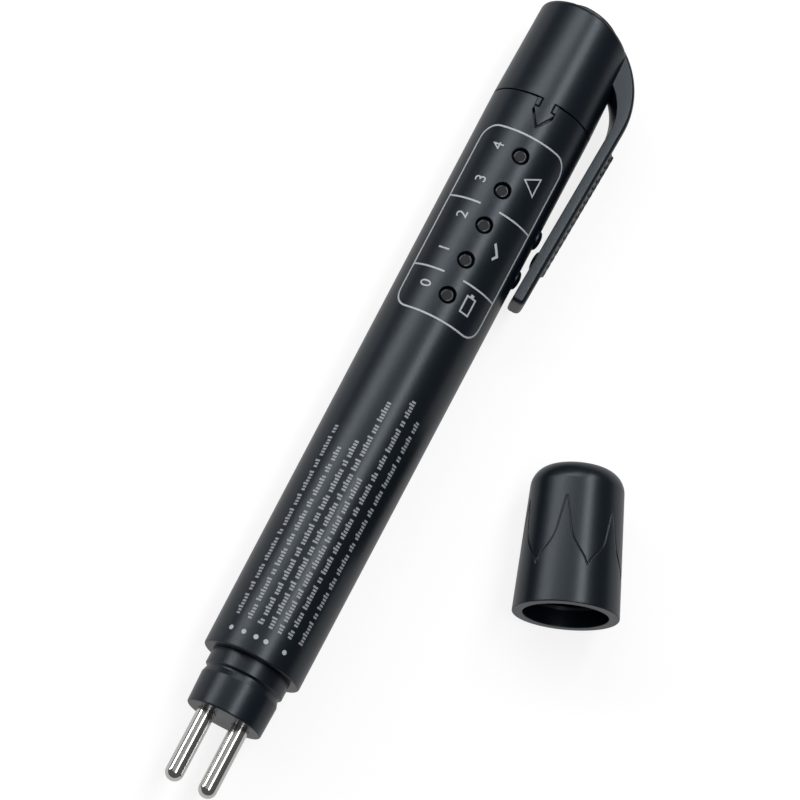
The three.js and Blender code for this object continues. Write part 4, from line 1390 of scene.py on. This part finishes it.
def dress_insides():
    strips = ["pin_contact_right", "pin_contact_left", "positive_contact", "ground_strip"]
    # Stamped strips, tinned: dull silver with rolling streaks
    dress([*strips, "contact_plate"], steel())
    # Drawn spring wire, nickel plated: brighter than the strips
    dress(["battery_spring"], steel("nickel_plated_spring_wire", "c3c0bb", 0.22))
    # Glass-epoxy board under black solder mask: satin, with the weave just showing through
    board = surface(
        "black_solder_mask", colour("0d0f10"), 0.45, grain=0.6, strength=0.2, spread=0.05, IOR=1.55
    )
    dress(["circuit_board"], board)
    # Moulded epoxy chip bodies and printed resistors: nearly black and dull
    resin = surface(
        "moulded_chip_epoxy", colour("1a1b1d"), 0.5, grain=0.2, strength=0.3, spread=0.06, IOR=1.55
    )
    chips = ["controller", "supply_chip"] + [f"lamp_resistor_{k}" for k in range(1, len(LAMPS) + 1)]
    dress(chips, resin)
    # Sintered ferrite: dark grey, dull, a little grainy
    ferrite = surface(
        "sintered_ferrite", colour("2b2b2c"), 0.62, grain=0.25, strength=0.5, spread=0.06, IOR=1.6
    )
    dress(["supply_coil"], ferrite)
    # Drawn aluminium can of the capacitor: pale, satin
    dress(["supply_capacitor"], steel("drawn_aluminium", "c8c9ca", 0.3))
    # Natural nylon carrier: off-white grey, soft sheen
    nylon = surface(
        "moulded_grey_nylon", colour("8b9096"), 0.45, grain=0.4, strength=0.25, spread=0.04, IOR=1.53
    )
    dress(["circuit_carrier"], nylon)
    # Nickel-plated steel can of the battery: bright, drawn lengthways
    dress(["battery_can"], steel("nickel_plated_can", "c4c2bd", 0.24))
    # Heat-shrunk PVC wrap: plain blue, glossy, with slight waves
    wrap_film = surface(
        "shrunk_pvc_wrap", looks().wrap_colour, 0.25, grain=1.5, strength=0.25, spread=0.03, IOR=1.54
    )
    dress(["battery_jacket"], wrap_film)


# Stage, in metres

# The camera of the photograph: what it aims at, the way back to it, and its upward way
AIM = PEN @ Vector((52.635, -1.187, 0))
VIEW_BACK = Vector((-0.2823, 0.0, 0.9593))
VIEW_UP = Vector((0.8487, 0.4662, 0.2498))
VIEW_DISTANCE = 0.6757
LENS_LENGTH = 180.0
SENSOR = 36.0
# Lamps: name, setting, roll about the pen in degrees, distance, width, length, and turn in
# their own plane in degrees
LAMP_PLACES = (
    ("strip_left", "left_power", -46, 0.5, 0.13, 0.8, -48),
    ("strip_right", "right_power", 13, 0.9, 0.2, 1.3, 0),
    ("soft_overhead", "fill_power", -16, 0.7, 0.5, 0.9, 0),
)


def make_camera():
    data = bpy.data.cameras.new("camera")
    data.lens, data.sensor_width = LENS_LENGTH, SENSOR
    data.clip_start, data.clip_end = 0.01, 20
    camera = bpy.data.objects.new("camera", data)
    back = VIEW_BACK.normalized()
    right = VIEW_UP.cross(back).normalized()
    up = back.cross(right)
    turn = Matrix((right, up, back)).transposed().to_4x4()
    camera.matrix_world = Matrix.Translation(AIM + back * VIEW_DISTANCE) @ turn
    bpy.context.scene.collection.objects.link(camera)
    bpy.context.scene.camera = camera


def make_lamp(name, power, roll, away, width, length, yaw):
    """A soft lamp over the pen, rolled from straight above towards the clip.

    It leans along the pen as far as the camera does the other way, so the pen mirrors it.
    """
    data = bpy.data.lights.new(name, "AREA")
    data.shape, data.size, data.size_y = "RECTANGLE", length, width
    data.energy = power
    lamp = bpy.data.objects.new(name, data)
    tilt = math.atan2(-VIEW_BACK.x, VIEW_BACK.z)
    axis = Matrix.Rotation(math.radians(roll), 4, "X") @ Matrix.Rotation(tilt, 4, "Y")
    spin = Matrix.Rotation(math.radians(yaw), 4, "Z")
    lamp.matrix_world = Matrix.Translation(AIM) @ axis @ Matrix.Translation((0, 0, away)) @ spin
    bpy.context.scene.collection.objects.link(lamp)


def make_stage():
    stage = bpy.context.scene.pen_stage
    size = stage.floor_size / 2
    mesh = bpy.data.meshes.new("floor")
    corners = [(x, y, 0) for x, y in rectangle(-size, size, -size, size)]
    mesh.from_pydata(corners, [], [(0, 1, 2, 3)])
    floor = bpy.data.objects.new("floor", mesh)
    bpy.context.scene.collection.objects.link(floor)
    # Seamless studio paper: dull. Camera and glass rays see it lifted to white, with the shadow
    # kept. Mirror rays see about half of the lift, so the edges of the mouldings stay dark.
    paper = surface("white_studio_paper", stage.floor_colour, 0.9, IOR=1.45)
    tree = paper.node_tree
    shader, output = tree.nodes["Principled BSDF"], tree.nodes["Material Output"]
    path = add(tree, "LightPath").outputs
    times, most = {"operation": "MULTIPLY"}, {"operation": "MAXIMUM"}
    seen = add(tree, "Math", times, (path["Is Glossy Ray"], stage.floor_mirrored)).outputs[0]
    for ray in ("Is Camera Ray", "Is Transmission Ray"):
        seen = add(tree, "Math", most, (seen, path[ray])).outputs[0]
    lift = add(tree, "Math", times, (seen, stage.floor_lift)).outputs[0]
    glow = add(tree, "Emission", Color=(1, 1, 1, 1), Strength=lift)
    both = add(tree, "AddShader", None, (shader.outputs["BSDF"], glow.outputs["Emission"]))
    tree.links.new(both.outputs["Shader"], output.inputs["Surface"])
    mesh.materials.append(paper)
    for name, power, *place in LAMP_PLACES:
        make_lamp(name, getattr(stage, power), *place)
    world = bpy.data.worlds.new("studio")
    world.use_nodes = True
    world.node_tree.nodes["Background"].inputs["Color"].default_value = (*stage.room_colour, 1)
    bpy.context.scene.world = world
    make_camera()
    bpy.context.scene.view_settings.view_transform = "Standard"


# Settings


def tint(name, description, default):
    return FloatVectorProperty(
        name=name, description=description, subtype="COLOR", size=3, min=0, max=1, default=default
    )


def fine_length(name, description, default, low, high):
    return FloatProperty(
        name=name, description=description, default=default, min=low, max=high,
        unit="LENGTH", precision=6,
    )


def lamp_power(name, description, default):
    return FloatProperty(
        name=name, description=description, default=default, min=0, max=500, unit="POWER"
    )


class PenLooks(PropertyGroup):
    plastic_colour: tint("Plastic colour", "Colour of the black mouldings", colour("09121a"))
    plastic_sheen: tint(
        "Plastic sheen", "Tint of the light that the mouldings mirror", (0.84, 0.92, 1.0)
    )
    plastic_roughness: FloatProperty(
        name="Plastic roughness", description="How dull the mouldings are", default=0.32, min=0.05, max=1
    )
    ink_colour: tint("Ink colour", "Colour of the printed panel and marks", colour("b4b8bd"))
    fine_ink_colour: tint("Fine ink colour", "Colour of the rows of ticks", colour("989da3"))
    ink_thickness: fine_length(
        "Ink thickness", "How far the print stands above the barrel", 0.00002, 0.000005, 0.0001
    )
    lens_colour: tint("Lens colour", "Colour of the five lamps when off", colour("1c2025"))
    pin_colour: tint("Pin colour", "Colour of the plated probe pins", colour("dad9d6"))
    wrap_colour: tint("Battery wrap colour", "Colour of the battery's wrap", colour("2d5f9a"))
    petal_count: IntProperty(
        name="Petals", description="How many petals go round the probe cover", default=6, min=3, max=12
    )
    petal_line_width: fine_length(
        "Petal line width", "Width of the grooves on the probe cover", 0.00048, 0.0001, 0.001
    )
    petal_line_depth: fine_length(
        "Petal line depth", "Depth of the grooves on the probe cover", 0.00025, 0.00002, 0.0005
    )


class PenStage(PropertyGroup):
    floor_size: FloatProperty(
        name="Floor size", description="Width of the floor", default=4.0, min=1, max=20, unit="LENGTH"
    )
    floor_colour: tint("Floor colour", "Colour of the floor paper", colour("7c7c7c"))
    floor_lift: FloatProperty(
        name="Floor lift", description="White added to the floor where it is seen",
        default=0.83, min=0, max=2,
    )
    floor_mirrored: FloatProperty(
        name="Mirrored lift", description="Share of the added white that mirror rays see",
        default=0.52, min=0, max=1,
    )
    left_power: lamp_power("Left strip", "Power of the strip lamp on the side away from the clip", 1.55)
    right_power: lamp_power("Right strip", "Power of the strip lamp above the pen", 5.3)
    fill_power: lamp_power("Overhead power", "Power of the wide soft lamp between the strips", 0.42)
    room_colour: tint("Room colour", "Light from the dark studio around", (0.1, 0.1, 0.105))


# Operators


class PEN_OT_barrel(Operator):
    """Builds the barrel with its lamp holes, catches and arrow notch"""

    bl_idname = "pen.build_barrel"
    bl_label = "Barrel"

    def execute(self, context):
        make_barrel()
        return {"FINISHED"}


class PEN_OT_nose(Operator):
    """Builds the nose that holds the probe pins"""

    bl_idname = "pen.build_nose"
    bl_label = "Nose"

    def execute(self, context):
        make_nose()
        return {"FINISHED"}


class PEN_OT_pins(Operator):
    """Builds the two probe pins"""

    bl_idname = "pen.build_pins"
    bl_label = "Probe pins"

    def execute(self, context):
        make_pin("pin_right", "probe_pin_right", PIN_ASIDE)
        make_pin("pin_left", "probe_pin_left", -PIN_ASIDE)
        return {"FINISHED"}


class PEN_OT_lamps(Operator):
    """Builds the five lamp lenses"""

    bl_idname = "pen.build_lamps"
    bl_label = "Lamps"

    def execute(self, context):
        for number, x in enumerate(LAMPS, 1):
            make_lens(number, x)
        return {"FINISHED"}


class PEN_OT_cap(Operator):
    """Builds the end cap with its arrow-shaped tongue"""

    bl_idname = "pen.build_cap"
    bl_label = "End cap"

    def execute(self, context):
        make_cap()
        return {"FINISHED"}


class PEN_OT_button(Operator):
    """Builds the push button in the cap's end"""

    bl_idname = "pen.build_button"
    bl_label = "Push button"

    def execute(self, context):
        make_button()
        return {"FINISHED"}


class PEN_OT_clip(Operator):
    """Builds the clip with its nub and ribs"""

    bl_idname = "pen.build_clip"
    bl_label = "Clip"

    def execute(self, context):
        make_clip()
        return {"FINISHED"}


class PEN_OT_cover(Operator):
    """Builds the probe cover with its ornament of petals"""

    bl_idname = "pen.build_cover"
    bl_label = "Probe cover"

    def execute(self, context):
        make_cover()
        return {"FINISHED"}


class PEN_OT_print(Operator):
    """Prints the panel, the scale marks and the rows of ticks on the barrel"""

    bl_idname = "pen.print_legend"
    bl_label = "Printing"

    def execute(self, context):
        make_print()
        return {"FINISHED"}


class PEN_OT_insides(Operator):
    """Gives the battery, the board and the contacts their materials"""

    bl_idname = "pen.dress_insides"
    bl_label = "Inner pieces"

    def execute(self, context):
        dress_insides()
        return {"FINISHED"}


class PEN_OT_stage(Operator):
    """Sets the floor, the lamps and the camera"""

    bl_idname = "pen.set_stage"
    bl_label = "Stage"

    def execute(self, context):
        make_stage()
        return {"FINISHED"}


OPERATORS = (
    PEN_OT_barrel, PEN_OT_nose, PEN_OT_pins, PEN_OT_lamps, PEN_OT_cap, PEN_OT_button,
    PEN_OT_clip, PEN_OT_cover, PEN_OT_print, PEN_OT_insides, PEN_OT_stage,
)


class PEN_PT_panel(Panel):
    """Settings and steps of the test pen"""

    bl_label = "Test pen"
    bl_idname = "PEN_PT_panel"
    bl_space_type = "VIEW_3D"
    bl_region_type = "UI"
    bl_category = "Test pen"

    def draw(self, context):
        for group in (context.scene.pen_looks, context.scene.pen_stage):
            box = self.layout.box()
            for name in group.bl_rna.properties.keys():
                if name not in {"rna_type", "name"}:
                    box.prop(group, name)
        for operator in OPERATORS:
            self.layout.operator(operator.bl_idname)


CLASSES = (PenLooks, PenStage, *OPERATORS, PEN_PT_panel)


def register():
    for cls in CLASSES:
        bpy.utils.register_class(cls)
    bpy.types.Scene.pen_looks = PointerProperty(type=PenLooks)
    bpy.types.Scene.pen_stage = PointerProperty(type=PenStage)


def unregister():
    del bpy.types.Scene.pen_stage
    del bpy.types.Scene.pen_looks
    for cls in reversed(CLASSES):
        bpy.utils.unregister_class(cls)


def main():
    register()
    for operator in OPERATORS:
        group, name = operator.bl_idname.split(".")
        if getattr(getattr(bpy.ops, group), name)() != {"FINISHED"}:
            raise RuntimeError(f"{operator.bl_idname} didn't finish")


if __name__ == "__main__":
    main()
